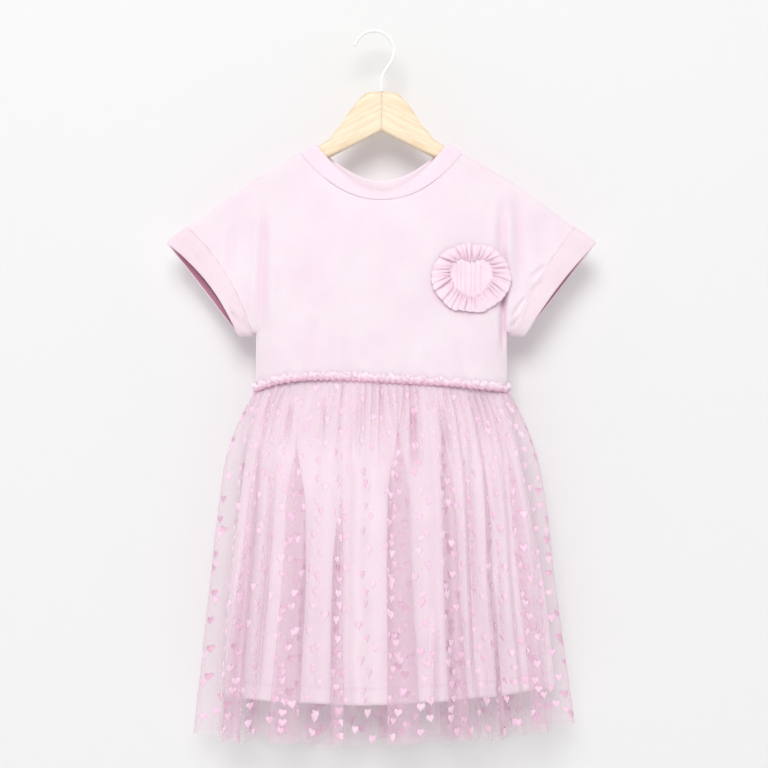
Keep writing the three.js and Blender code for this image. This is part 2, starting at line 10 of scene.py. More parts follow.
import bpy
import numpy as np
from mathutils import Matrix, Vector


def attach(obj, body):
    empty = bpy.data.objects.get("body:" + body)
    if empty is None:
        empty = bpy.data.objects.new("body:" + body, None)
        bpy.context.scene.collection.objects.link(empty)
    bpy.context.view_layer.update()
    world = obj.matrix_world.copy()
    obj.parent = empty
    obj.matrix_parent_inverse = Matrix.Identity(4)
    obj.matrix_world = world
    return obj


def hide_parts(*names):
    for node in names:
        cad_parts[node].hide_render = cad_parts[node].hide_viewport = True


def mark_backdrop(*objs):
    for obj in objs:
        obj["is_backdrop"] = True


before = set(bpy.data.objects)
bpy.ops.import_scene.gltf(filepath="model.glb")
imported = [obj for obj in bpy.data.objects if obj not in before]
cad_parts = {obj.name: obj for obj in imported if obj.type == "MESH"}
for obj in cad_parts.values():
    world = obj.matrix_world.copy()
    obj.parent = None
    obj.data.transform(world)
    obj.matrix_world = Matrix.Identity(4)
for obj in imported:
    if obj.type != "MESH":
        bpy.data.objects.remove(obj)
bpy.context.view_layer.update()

# Sizes, in millimetres, as in the CAD source
MM = 0.001
CENTRE_X = 8.0  # the dress hangs this far to the right of the hook's bearing point
SEAM_GAP = 0.12
NET_HELD = 0.9  # the net's top edge is this far above the waist seam and outside the bodice
# Thicknesses of the cloths
JERSEY, RIB, CUFF_JERSEY, PATCH_JERSEY, RUFFLE_JERSEY, FRILL_JERSEY = 1.0, 2.1, 0.9, 0.9, 0.6, 0.7
WIRE = 4.0
HOOK_INSIDE = 19.75
HOOK_TIP_ANGLE = 162
HOOK_LEAVES_BOW = -30

HANGER_HALF = 142.0
HANGER_THICK = 12.0
HANGER_ROUND = 4.6
HANGER_BELOW_RIDGE = 3.6
HANGER_TIP = 8.0
HANGER_SLOPE = 0.51
HEAD_BOTTOM_Z = -106.6
HEAD_ENDS_X, ARM_BEGINS_X = 52.0, 56.0
HEAD_PROFILE = np.array(
    # x, z along the top of the hanger's head
    [(0.1, -64.0), (6, -64.0), (12, -64.4), (18, -66.6), (24, -71.8), (35, -86.1), (43, -98.6), (52, -109.0)]
)

SHOULDER_X, SHOULDER_Z, SHOULDER_SLOPE = 142.0, -162.0, 0.583
SLEEVE_TIP = (230.0, -226.8)
CUFF_TOP_X = 208.5
SLEEVE_CORNER = (153.0, -327.0)
CUFF_BOTTOM = (139.0, -325.4)
UNDERARM_X, UNDERARM_Z = 135.0, -325.0
RIDGE_ROUND = 8.0
SWELL_LENGTH = 120.0
SEAM_ROUND = 40.0
SLEEVE_DEPTH = 14.0
SLEEVE_FROM, SLEEVE_TO = 105.0, 150.0
WAIST_SIDE_Z, WAIST_RISE, WAIST_LEAN, WAIST_POWER = -389.0, 11.0, 0.6, 4
HEM_TILT = 5.0
NECK_SEAM_X, NECK_EDGE_X, NECK_POWER = 88.0, 70.7, 2.15
BAND_LEAN_WITHIN, BAND_BULGE, BAND_FROM_SEAM, BAND_EDGE_POWER = 48.0, 0.8, 0.3, 1.85
GROOVE_CLOSED = -0.55  # at the sides of the neck the band's edge lies on the bodice's

Panel = namedtuple("Panel", "side depth neck_drop hem_bow hem_sag edge_drop lean")
FRONT = Panel(-1, 20.0, neck_drop=51.8, hem_bow=(9.0, 4.2), hem_sag=10.0, edge_drop=51.0, lean=8.0)
BACK = Panel(1, 13.5, neck_drop=43.5, hem_bow=(0.0, 0.0), hem_sag=18.0, edge_drop=38.6, lean=-4.0)

# A crease: start, end, sideways bow, width and depth of the trough, and its raised lip's share
Crease = namedtuple("Crease", "x0 z0 x1 z1 bow width depth lip")

POCKET_X, POCKET_Z, POCKET_HALF = 96.0, -266.0, 25.5
POCKET_WAIST, POCKET_LOBE, POCKET_POINT = 4.0, 18.0, 27.0
LOBE_AT, LOBE_SPREAD = 0.48, 0.75
RUFFLE_WAVES, RUFFLE_REACH, RUFFLE_LIES_WITHIN = 30, (42.2, 37.0), 112.0
FRILL_WAVES, FRILL_LUMPS = 92, 61
TUCKS_X = np.array([80.9, 85.0, 89.7, 96.0, 100.1, 105.9])
PATCH_CREASES = [
    Crease(83, -248, 74.5, -259.5, 0.5, 1.0, 1.0, 0.6),
    Crease(100, -252, 116, -261, -0.5, 1.0, 0.9, 0.6),
]
# Sharp creases of the ruffle: degrees from its top, clockwise, and depth
RUFFLE_CREASES = [
    (-115, 2.6), (-92, 1.6), (-76, 2.4), (-68, 2.0), (-54, 2.6), (-38, 1.6), (-25, 1.8), (-17, 1.6),
    (-9, 1.8), (0, 1.8), (16, 1.5), (39, 2.6), (52, 2.2), (73, 2.6), (96, 1.8), (117, 1.6), (133, 2.4),
    (152, 1.6), (171, 1.8), (190, 2.2), (208, 1.6), (226, 1.8),
]

# Skirt sections: drop below the waist, middle, half width, front and back depth, height of a full fold
UNDERSKIRT = np.array(
    [
        (0.4, 0, 135, 19.6, 13.1, 0.3),
        (60, 1, 146, 21, 14, 2),
        (130, 3, 157, 22, 15, 4.5),
        (230, 6, 171, 23.5, 16, 7),
        (322, 9, 178, 25, 17, 9),
    ]
)
OVERSKIRT = np.array(
    [
        (1, 0, 139, 22.4, 15.9, 2),
        (30, 0, 154, 27, 19, 5),
        (62, 0, 166, 30, 21, 8),
        (115, 1, 176, 32, 23, 11),
        (200, 1, 186, 35, 26, 14),
        (290, 2, 197, 38, 29, 16),
        (362, 3, 206, 41, 31, 18),
    ]
)
# Folds: where the valley on the left of each lies, as a share of the half width, and its height
FOLDS = {
    "underskirt_front": [(-0.86, 0.7), (-0.5, 1), (0.19, 0.5), (0.52, 0.9), (0.86, 0)],
    "underskirt_back": [(-0.86, 0.8), (-0.5, 0.6), (-0.04, 1), (0.5, 0.7), (0.86, 0)],
    "overskirt_front": [
        (-0.95, 0.9), (-0.84, 1), (-0.71, 0.3), (-0.45, 1), (-0.26, 0.75), (0, 0.6),
        (0.24, 1), (0.44, 0.85), (0.56, 0.9), (0.69, 0.8), (0.82, 0.9), (0.95, 0),
    ],
    "overskirt_back": [
        (-0.95, 0.9), (-0.82, 0.8), (-0.66, 1), (-0.47, 0.6), (-0.26, 0.9), (-0.06, 1),
        (0.12, 0.5), (0.33, 0.9), (0.5, 1), (0.66, 0.7), (0.81, 0.9), (0.95, 0),
    ],
}

# Creases of the bodice, by the side that its panel faces
CREASES = {
    -1: [
        Crease(-124.7, -180, -132, -323, -1.0, 5.0, 4.2, 0.6),
        Crease(-119, -262, -131, -330, 1.0, 5.0, 1.3, 0.5),
        Crease(131.8, -166, 131.8, -329, 2.7, 5.2, 4.2, 0.6),
        Crease(131, -258, 131, -352, 0.5, 3.0, 6.0, 0.35),
        Crease(-158, -200, -165.5, -272, 1.0, 5.0, 2.4, 0.6),
        Crease(144, -172, 150, -274, -1.0, 7.0, 2.8, 0.5),
        Crease(-186, -232, -170, -300, 2.0, 9.0, 0.8, 0.5),
        Crease(176, -238, 160, -306, 1.5, 7.0, 1.0, 0.5),
        Crease(152, -312, 166, -268, 1.0, 5.0, 1.6, 0.5),
        Crease(180, -250, 158, -268, 1.0, 2.4, 1.8, 0.7),
        Crease(176, -266, 160, -278, -1.0, 2.2, 1.4, 0.7),
        Crease(158, -284, 140, -312, 2.0, 2.6, 1.8, 0.7),
        Crease(150, -304, 136, -322, 0.0, 2.4, 1.4, 0.7),
        Crease(-166, -296, -146, -322, 0.0, 2.6, 1.6, 0.7),
        Crease(-150, -306, -142, -326, 0.0, 2.4, 1.5, 0.7),
        Crease(-206, -232, -190, -256, 0.0, 4.0, 1.2, 0.6),
        Crease(-112, -322, -58, -205, 5.0, 14.0, 1.1, 0.5),
        Crease(112, -330, 64, -212, -4.0, 14.0, 1.1, 0.5),
        Crease(-84, -382, -72, -300, 2.0, 8.0, 1.1, 0.5),
        Crease(-30, -384, -38, -318, -2.0, 7.0, 1.0, 0.5),
        Crease(24, -384, 30, -308, 2.0, 8.0, 1.1, 0.5),
        Crease(88, -386, 80, -325, -1.0, 7.0, 1.2, 0.5),
    ],
    1: [
        Crease(126, -186, 132, -322, 1.0, 7.5, 2.6, 0.45),
        Crease(-130, -176, -132, -326, -2.0, 7.0, 2.6, 0.45),
        Crease(158, -210, 164, -262, -1.0, 8.0, 1.3, 0.5),
        Crease(-145, -182, -149, -262, 1.0, 7.0, 1.4, 0.5),
        Crease(-176, -240, -162, -302, 2.0, 8.0, 0.9, 0.5),
        Crease(106, -320, 50, -196, -4.0, 13.0, 0.7, 0.5),
        Crease(-104, -326, -46, -206, 4.0, 13.0, 0.7, 0.5),
        Crease(70, -380, 62, -296, 2.0, 8.0, 0.7, 0.5),
        Crease(-14, -380, -20, -310, -2.0, 8.0, 0.6, 0.5),
        Crease(-82, -384, -76, -318, 1.0, 7.0, 0.6, 0.5),
    ],
}
# Deep folds of the net, where it lies over itself: middle and width as shares of the half width, the share
# of the way down where they begin, and how far they turn back
Tuck = namedtuple("Tuck", "across width begins depth")
NET_TUCKS = {
    -1: [
        Tuck(-0.83, 0.13, 0.02, 0.6),
        Tuck(-0.56, 0.30, 0.06, 0.5),
        Tuck(-0.27, 0.12, 0.2, 0.55),
        Tuck(0.11, 0.24, 0.02, 0.62),
        Tuck(0.42, 0.16, 0.0, 0.6),
        Tuck(0.66, 0.12, 0.1, 0.45),
        Tuck(0.86, 0.12, 0.05, 0.55),
    ],
    1: [
        Tuck(-0.74, 0.09, 0.05, 0.55),
        Tuck(-0.40, 0.12, 0.1, 0.6),
        Tuck(0.02, 0.14, 0.02, 0.6),
        Tuck(0.36, 0.10, 0.12, 0.55),
        Tuck(0.70, 0.10, 0.05, 0.55),
    ],
}
# Sharp folds of the net, as the bodice's creases
NET_CREASES = {
    -1: [
        Crease(-112, -424, -140, -765, -3, 3.2, 5.0, 0.7),
        Crease(-73, -462, -86, -770, 2, 3.0, 4.0, 0.7),
        Crease(-44, -500, -51, -725, 1, 2.8, 3.6, 0.7),
        Crease(8, -418, 5, -730, 1, 3.0, 3.4, 0.8),
        Crease(34, -396, 35, -478, 0, 3.4, 6.5, 0.7),
        Crease(57, -610, 54, -762, 0, 3.0, 4.5, 0.8),
        Crease(89, -410, 98, -765, -2, 3.0, 4.2, 0.7),
        Crease(124, -545, 127, -750, 0, 2.8, 3.4, 0.7),
        Crease(160, -452, 185, -715, 2, 3.2, 4.5, 0.7),
        Crease(-162, -530, -181, -760, 0, 3.2, 4.0, 0.7),
        Crease(-96, -394, -104, -452, 0, 2.8, 3.4, 0.7),
        Crease(-62, -388, -64, -440, 0, 2.6, 3.2, 0.7),
        Crease(-22, -388, -26, -470, 0, 2.8, 3.4, 0.7),
        Crease(62, -394, 72, -455, 0, 2.8, 3.6, 0.7),
        Crease(108, -398, 124, -470, 0, 2.8, 3.6, 0.7),
    ],
    1: [
        Crease(-120, -430, -142, -760, 2, 3.2, 4.5, 0.7),
        Crease(-66, -400, -82, -700, -2, 3.0, 4.2, 0.7),
        Crease(-20, -480, -28, -770, 1, 3.0, 4.0, 0.7),
        Crease(24, -395, 30, -560, 0, 3.0, 4.5, 0.7),
        Crease(70, -440, 88, -765, 2, 3.2, 4.4, 0.7),
        Crease(116, -400, 140, -640, 1, 3.0, 4.0, 0.7),
        Crease(157, -510, 182, -760, 0, 7.0, -2.0, 0.0),  # a ridge, which holds the net clear of the lining
    ],
}
# The hearts' repeat on the flat net: the cell's size, and their places in it
HEART_CELL = (37.0, 68.6)
HEARTS_IN_CELL = np.array([(0, 0), (-1, 16), (10, 26), (-4, 43), (7, 57)])
# Where the hanger's ends press through: x, z, reach and height of the bump
HANGER_ENDS = [(-137.7, -173.0, 9.0, 2.0), (133.4, -176.6, 8.0, 2.2)]

# Light and deep colour of each finish
TINTS = {
    "jersey": ((0.92, 0.78, 0.86), (0.895, 0.725, 0.815)),
    # painted shade: the cuffs' jersey is a deeper copy of the body's, for the shade over the sleeve ends
    "cuff_jersey_painted_shade": ((0.935, 0.76, 0.845), (0.905, 0.69, 0.785)),
    # painted shade: the dark rose of the shaded inside of the sleeves
    "sleeve_inside_painted_shade": ((0.66, 0.31, 0.43), (0.58, 0.25, 0.37)),
    "rib": ((0.93, 0.735, 0.83), (0.905, 0.70, 0.80)),
    "lining": ((0.93, 0.845, 0.89), (0.905, 0.81, 0.865)),
    "pocket": ((0.92, 0.745, 0.83), (0.88, 0.69, 0.785)),
    # painted shade: the frills' deep colours lie at their seams
    "pocket_frill": ((0.935, 0.755, 0.845), (0.88, 0.66, 0.77)),
    "waist_frill": ((0.945, 0.785, 0.87), (0.78, 0.48, 0.61)),
    "net": ((0.875, 0.67, 0.775), (0.825, 0.585, 0.705)),
    "flock": ((0.93, 0.70, 0.835), (0.895, 0.60, 0.765)),
    "wood": ((0.905, 0.775, 0.585), (0.785, 0.61, 0.41)),
    "wire": ((0.86, 0.86, 0.85), (0.6, 0.6, 0.6)),
}
TROUGH_PINK, STITCH_PINK, TUCK_PINK = (0.84, 0.52, 0.65), (0.78, 0.58, 0.68), (0.84, 0.62, 0.74)
BAND_INSIDE_PINK, LAYERED_PINK_AND_PAINTED_SHADE, FLOCK_FUZZ = (0.965, 0.795, 0.88), (0.765, 0.47, 0.60), (0.95, 0.72, 0.86)
RING_BROWN, PORE_BROWN, JOINT_BROWN = (0.76, 0.55, 0.33), (0.60, 0.40, 0.22), (0.45, 0.27, 0.13)
WALL_PAINT, FLOOR_PAINT = (0.80, 0.80, 0.80), (0.82, 0.82, 0.81)

# Pitches of knitted columns, ribs, stitches and growth rings, in metres
KNIT, RIBS, STITCH, RINGS = 0.0009, 0.0019, 0.0032, 0.0034
HEM_STITCH, HEM_STITCH_ROWS = 0.0148, 0.003

# The room and the camera, in metres
WALL_Y, FLOOR_Z, WALL_TOP, ROOM_HALF = 0.056, -1.6, 1.8, 3
WORLD_LIGHT = 0.57
CAMERA_PLACE, CAMERA_LENS, CAMERA_SENSOR = (0.0107, -2.304, -0.3796), 100, 36
# Area lights: place, the point that they face, width and watts
LIGHTS = {
    "key": ((-0.3, -4.0, 1.7), (0, 0, -0.45), 1.8, 119),
    "back_left": ((-1.6, 1.6, 0.4), (0, 0, -0.4), 1.2, 13),
    "back_right": ((1.6, 1.6, 0.6), (0, 0, -0.4), 1.2, 13),
}


# Numbers and arrays


def mix(a, b, share):
    return a + (b - a) * share


def smooth(share):
    """0 below 0, 1 above 1, and between them three times the square less twice the cube."""
    c = np.clip(share, 0, 1)
    return c * c * (3 - 2 * c)


def quarter_round(share):
    """The part of a round corner's depth that is reached at a share of its radius."""
    return np.sqrt(np.maximum(0, 1 - (1 - np.clip(share, 0, 1)) ** 2))


def bell(distance, width):
    return np.exp(-((distance / width) ** 2))


def ripple(t, seed, lowest, highest, count=7):
    """An uneven wave: the sum of sines with seeded frequencies and phases, at most about 1 high."""
    rng = np.random.default_rng(seed)
    rates = rng.uniform(lowest, highest, count)
    phases = rng.uniform(0, 2 * np.pi, count)
    weights = rng.uniform(0.5, 1, count)
    waves = np.sin(2 * np.pi * rates * np.asarray(t)[..., None] + phases) * weights
    return waves.sum(-1) / np.sqrt((weights**2).sum() * 2)


def mottle(x, z, seed, shortest, longest, count=9):
    """An uneven relief: the sum of plane waves in seeded directions, at most about 1 high."""
    rng = np.random.default_rng(seed)
    angle = rng.uniform(0, np.pi, count)
    rate = 1 / rng.uniform(shortest, longest, count)
    phase = rng.uniform(0, 2 * np.pi, count)
    along = x[..., None] * np.cos(angle) + z[..., None] * np.sin(angle)
    return np.sin(2 * np.pi * rate * along + phase).sum(-1) / np.sqrt(2 * count)


def table_at(table, drop):
    """The table's columns at a drop: a cubic between rows whose slopes are the mean of their neighbours'."""
    key = table[:, 0]
    slopes = np.gradient(table, key, axis=0)
    k = np.clip(np.searchsorted(key, drop) - 1, 0, len(key) - 2)
    step = (key[k + 1] - key[k])[:, None]
    t = (drop - key[k])[:, None] / step
    a, b = table[k], table[k + 1]
    bend_a, bend_b = slopes[k] * step, slopes[k + 1] * step
    cubic = (1 + 2 * t) * (1 - t) ** 2 * a + t * (1 - t) ** 2 * bend_a
    return cubic + t * t * (3 - 2 * t) * b - t * t * (1 - t) * bend_b


def unit(vectors):
    return vectors / np.maximum(np.linalg.norm(vectors, axis=-1, keepdims=True), 1e-9)


def grid_normals(points, across_closed=False):
    """Outward directions of a grid: the cross product of its steps down and across."""
    if across_closed:
        across = np.roll(points, -1, 1) - np.roll(points, 1, 1)
    else:
        across = np.gradient(points, axis=1)
    down = np.gradient(points, axis=0)
    return unit(np.cross(down, across))


def grid_faces(rows, columns, across_closed=False):
    """The quads of a grid, turned so that they face outwards on a cloth seen from its outside."""
    index = np.arange(rows * columns).reshape(rows, columns)
    right = np.roll(index, -1, 1)
    if not across_closed:
        index, right = index[:, :-1], right[:, :-1]
    return np.stack([index[:-1], index[1:], right[1:], right[:-1]], -1).reshape(-1, 4)


# Meshes


def placed_object(name, data):
    obj = bpy.data.objects.new(name, data)
    bpy.context.scene.collection.objects.link(obj)
    return obj


def mesh_piece(name, points, faces, materials, uv=None, values=None):
    """A piece from points in millimetres, its faces, its cloth coordinates and values on its points."""
    mesh = bpy.data.meshes.new(name)
    placed = (points.reshape(-1, 3) + (CENTRE_X, 0, 0)) * MM
    mesh.from_pydata(placed.tolist(), [], faces.tolist())
    mesh.polygons.foreach_set("use_smooth", np.ones(len(mesh.polygons), bool))
    if uv is not None:
        loops = np.empty(len(mesh.loops), np.int32)
        mesh.loops.foreach_get("vertex_index", loops)
        layer = mesh.uv_layers.new(name="cloth")
        layer.data.foreach_set("uv", (uv.reshape(-1, 2)[loops] * MM).ravel().astype(np.float32))
    for key, value in (values or {}).items():
        attribute = mesh.attributes.new(key, "FLOAT", "POINT")
        attribute.data.foreach_set("value", np.asarray(value, np.float32).ravel())
    for material in materials:
        mesh.materials.append(material)
    mesh.validate()
    return placed_object(name, mesh)


def cloth_wall(obj, thickness):
    """Gives a sheet its thickness, half to each side."""
    wall = obj.modifiers.new("wall", "SOLIDIFY")
    wall.thickness = thickness * MM
    wall.offset = 0
    return obj


def welded(grids):
    """Grids of points joined where they meet, rounded to a hundredth of a millimetre."""
    points, faces, start = [], [], 0
    for grid in grids:
        faces.append(grid_faces(*grid.shape[:2]) + start)
        points.append(grid.reshape(-1, 3))
        start += grid.shape[0] * grid.shape[1]
    points = np.concatenate(points)
    _, first, place = np.unique(np.round(points, 2), axis=0, return_index=True, return_inverse=True)
    return points[first], place.ravel()[np.concatenate(faces)]


def arc_lengths(points, axis):
    steps = np.linalg.norm(np.diff(points, axis=axis), axis=-1)
    start = np.zeros_like(np.take(steps, [0], axis))
    return np.concatenate([start, np.cumsum(steps, axis)], axis)


def cloth_uv(points):
    """Cloth coordinates: lengths along the surface, across it and down it."""
    return np.stack([arc_lengths(points, 1), arc_lengths(points, 0)], -1)


def loft_faces(rows, sides):
    """The quads of closed sections in a row, and triangles that fan out over both ends."""
    caps = np.array([[0, k, k + 1] for k in range(1, sides - 1)])
    ends = np.concatenate([caps[:, ::-1], caps + (rows - 1) * sides])
    return grid_faces(rows, sides, True).tolist() + ends.tolist()


def finish_piece(obj, slot, *nodes):
    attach(obj, "root")
    if nodes:
        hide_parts(*nodes)
    return obj


# Shader expressions


class Value:
    """A number or colour that varies over a surface. Each operation on it adds a node."""

    def __init__(self, finish, socket):
        self.finish, self.socket = finish, socket

    def math(self, operation, *values):
        return self.finish.node("ShaderNodeMath", {"operation": operation}, dict(enumerate(values)))

    def sine(self):
        return self.math("SINE", self)

    def absolute(self):
        return self.math("ABSOLUTE", self)

    def at_most(self, other):
        return self.math("MINIMUM", self, other)

    def at_least(self, other):
        return self.math("MAXIMUM", self, other)

    def between(self, low, high):
        """0 below low, 1 above high, and smooth between them."""
        settings = {"interpolation_type": "SMOOTHSTEP"}
        inputs = {"Value": self, "From Min": low, "From Max": high}
        return self.finish.node("ShaderNodeMapRange", settings, inputs)


def value_operators(operation):
    """The methods for Value's operation with a number or a Value on its right, and on its left."""
    return (
        lambda self, other: self.math(operation, self, other),
        lambda self, other: self.math(operation, other, self),
    )


OPERATORS = {"add": "ADD", "sub": "SUBTRACT", "mul": "MULTIPLY", "truediv": "DIVIDE", "pow": "POWER"}
for method, operation in OPERATORS.items():
    on_right, on_left = value_operators(operation)
    setattr(Value, f"__{method}__", on_right)
    setattr(Value, f"__r{method}__", on_left)


class Finish:
    """A material in the making, round one Principled shader whose constants are given by socket name."""

    def __init__(self, name, **constants):
        self.material = bpy.data.materials.new(name)
        self.material.use_nodes = True
        self.tree = self.material.node_tree
        self.shader = self.tree.nodes["Principled BSDF"]
        for key, value in constants.items():
            self.shader.inputs[key.replace("_", " ")].default_value = value

    def node(self, kind, settings, inputs, output=0):
        """A node of that type: its settings are set first, then its sockets. Returns one of its outputs."""
        made = self.tree.nodes.new(kind)
        for key, value in settings.items():
            if key == "stops":
                ramp = made.color_ramp
                while len(ramp.elements) < len(value):
                    ramp.elements.new(1)
                for element, (position, colour) in zip(ramp.elements, value):
                    element.position, element.color = position, (*colour, 1)
            else:
                setattr(made, key, value)
        for key, value in inputs.items():
            self.link(value, made.inputs[key])
        return Value(self, made.outputs[output])

    def link(self, value, socket):
        if isinstance(value, Value):
            self.tree.links.new(value.socket, socket)
        elif isinstance(value, tuple) and len(value) == 3 and socket.type == "RGBA":
            socket.default_value = (*value, 1)
        else:
            socket.default_value = value

    def feed(self, name, value):
        self.link(value, self.shader.inputs[name])

    def place(self):
        """The piece's own coordinates, in metres."""
        return self.node("ShaderNodeTexCoord", {}, {}, "Object")

    def cloth(self):
        """The cloth's own coordinates, in metres."""
        return self.node("ShaderNodeUVMap", {"uv_map": "cloth"}, {})

    def attribute(self, name):
        return self.node("ShaderNodeAttribute", {"attribute_name": name}, {}, "Fac")

    def part(self, vector, axis):
        return self.node("ShaderNodeSeparateXYZ", {}, {0: vector}, axis)

    def stretch(self, vector, x, y, z=1.0):
        return self.node("ShaderNodeVectorMath", {"operation": "MULTIPLY"}, {0: vector, 1: (x, y, z)})

    def noise(self, vector, scale, detail=2.0, roughness=0.5):
        inputs = {"Vector": vector, "Scale": scale, "Detail": detail, "Roughness": roughness}
        return self.node("ShaderNodeTexNoise", {}, inputs)

    def blend(self, share, first, second):
        """The mix of two colours by a share."""
        return self.node("ShaderNodeMix", {"data_type": "RGBA"}, {0: share, 6: first, 7: second}, 2)

    def tinted(self, share, name):
        """The named finish's deep colour, mixed with its light one by a share."""
        light, deep = TINTS[name]
        return self.blend(share, deep, light)

    def bump(self, height, strength, distance=0.001, below=None):
        inputs = {"Height": height, "Strength": strength, "Distance": distance}
        if below is not None:
            inputs["Normal"] = below
        return self.node("ShaderNodeBump", {}, inputs)


def soft_pile(weight, depth):
    """Socket values for light that goes a little way through the cloth, most of it red."""
    return {"Subsurface_Weight": weight, "Subsurface_Scale": depth, "Subsurface_Radius": (1.0, 0.7, 0.85)}


def sine_along(finish, vector, axis, pitch):
    """A sine along one axis of a vector in metres."""
    return (finish.part(vector, axis) * (2 * np.pi / pitch)).sine()


def knit(finish, vector):
    """Plain knit: columns of small loops that lean in turn to each side. The vector is in metres."""
    across = finish.part(vector, "X") * (2 * np.pi / KNIT)
    down = finish.part(vector, "Y") * (2 * np.pi / (KNIT * 0.8))
    return across.sine().absolute() * 0.6 + (down + across.sine() * 1.4).sine() * 0.4


def flat_vector(finish):
    """Object coordinates with the height in the second place, for patterns on a hanging panel."""
    place = finish.place()
    parts = {"X": finish.part(place, "X"), "Y": finish.part(place, "Z"), "Z": 0.0}
    return finish.node("ShaderNodeCombineXYZ", {}, parts)


def jersey_finish(name):
    """Knitted cloth. The trough attribute deepens its colour where light passes between pink faces."""
    finish = Finish(name, Roughness=0.88, Sheen_Weight=0.25, Specular_IOR_Level=0.2, **soft_pile(0.25, 0.004))
    vector = flat_vector(finish)
    cloud = finish.noise(vector, 22, 3)
    fleck = finish.noise(vector, 900, 1)
    shade = (cloud * 0.7 + fleck * 0.3).between(0.3, 0.7)
    trough = finish.attribute("trough")
    finish.feed("Base Color", finish.blend(trough, finish.tinted(shade, name), TROUGH_PINK))
    soft = finish.bump(finish.noise(vector, 160, 2), 0.12, 0.0006)
    finish.feed("Normal", finish.bump(knit(finish, vector), 0.3, 0.00025, soft))
    return finish.material


def rib_finish():
    pile = soft_pile(0.35, 0.006)
    finish = Finish("rib", Roughness=0.88, Sheen_Weight=0.25, Specular_IOR_Level=0.2, **pile)
    cloth = finish.cloth()
    ribs = sine_along(finish, cloth, "X", RIBS) * 0.5 + 0.5
    loops = sine_along(finish, cloth, "Y", KNIT) * 0.5 + 0.5
    within = finish.attribute("within")  # the back's inside is lit by all the pink round it
    finish.feed("Base Color", finish.blend(within, finish.tinted(ribs, "rib"), BAND_INSIDE_PINK))
    finish.feed("Normal", finish.bump(ribs * 0.8 + loops * 0.2, 0.25, 0.0003))
    return finish.material


def lining_finish():
    """Knitted cloth with two dashed rows of stitches over its hem."""
    finish = Finish("lining", Roughness=0.85, Sheen_Weight=0.2, Sheen_Roughness=0.45, Specular_IOR_Level=0.2)
    cloth = finish.cloth()
    cloud = finish.noise(flat_vector(finish), 18, 3).between(0.3, 0.7)
    above_row = finish.attribute("above_hem") * MM - HEM_STITCH
    off_rows = above_row.absolute() + (above_row - HEM_STITCH_ROWS).absolute() - HEM_STITCH_ROWS
    dash = sine_along(finish, cloth, "X", STITCH).between(-0.5, 0.1)
    stitches = (1 - off_rows.between(0.0, 0.0009)) * dash
    finish.feed("Base Color", finish.blend(stitches * 0.3, finish.tinted(cloud, "lining"), STITCH_PINK))
    finish.feed("Normal", finish.bump(knit(finish, cloth) * 0.4 - stitches * 1.2, 0.4, 0.0004))
    return finish.material


def frill_finish(name):
    """A gathered strip, fuzzy, with painted shade: darker at its seam, lighter towards its free edge."""
    finish = Finish(name, Roughness=0.85, Sheen_Weight=0.3, Specular_IOR_Level=0.2)
    cloth = finish.cloth()
    fuzz = finish.noise(finish.stretch(cloth, 1, 0.35), 700, 3, 0.7)
    # painted shade: darker where the strip rises from its seam, where shade falls
    shade = (finish.attribute("rise") + (fuzz - 0.5) * 0.5).between(0.0, 0.8)
    finish.feed("Base Color", finish.tinted(shade, name))
    finish.feed("Normal", finish.bump(fuzz + knit(finish, cloth) * 0.3, 0.5, 0.0005))
    return finish.material


def pocket_finish():
    finish = Finish("pocket", Roughness=0.86, Sheen_Weight=0.25, Sheen_Roughness=0.45, Specular_IOR_Level=0.2)
    cloth = finish.cloth()
    cloud = finish.noise(cloth, 60, 3).between(0.3, 0.7)
    tuck = finish.attribute("tuck")
    finish.feed("Base Color", finish.blend(tuck * 0.75, finish.tinted(cloud, "pocket"), TUCK_PINK))
    finish.feed("Normal", finish.bump(knit(finish, cloth), 0.3, 0.00025))
    return finish.material


def net_finish():
    """See-through net. At a slant the share its threads leave free is to the power of one over the cosine."""
    finish = Finish("net", Roughness=0.6, Sheen_Weight=0.15, Sheen_Roughness=0.4, Specular_IOR_Level=0.3)
    cloth = finish.cloth()
    facing = finish.node("ShaderNodeLayerWeight", {}, {"Blend": 0.5}, "Facing")
    streaks = finish.noise(finish.stretch(cloth, 1, 0.05), 260, 3, 0.6)
    clouds = finish.noise(finish.stretch(cloth, 1, 0.6), 55, 5, 0.65).between(0.25, 0.75)
    threads = {"feature": "DISTANCE_TO_EDGE"}
    cells = finish.node("ShaderNodeTexVoronoi", threads, {"Vector": cloth, "Scale": 900})
    mesh = 1 - cells.between(0.02, 0.22)
    gathered = finish.attribute("gathered")
    cover = ((0.095 + streaks * 0.03 + clouds * 0.06 + mesh * 0.03) * (1 + gathered)).at_most(0.6)
    cosine = (1 - facing).at_least(0.24)
    finish.feed("Alpha", 1 - (1 - cover) ** (1 / cosine))
    # deeper pink where the net lies in more layers, and painted shade at the seam, in creases and between
    # gathers
    deepened = gathered.between(0.3, 1.6)
    finish.feed("Base Color", finish.blend(deepened, finish.tinted(clouds, "net"), LAYERED_PINK_AND_PAINTED_SHADE))
    finish.feed("Normal", finish.bump(streaks, 0.2, 0.0008))
    return finish.material


def heart_finish():
    finish = Finish("flock", Roughness=0.95, Sheen_Weight=0.5, Specular_IOR_Level=0.1)
    fuzz = finish.noise(finish.place(), 2500, 2)
    plain = finish.tinted(finish.attribute("tint"), "flock")
    finish.feed("Base Color", finish.blend(fuzz.between(0.35, 0.75) * 0.35, plain, FLOCK_FUZZ))
    finish.feed("Normal", finish.bump(fuzz, 0.6, 0.0004))
    return finish.material


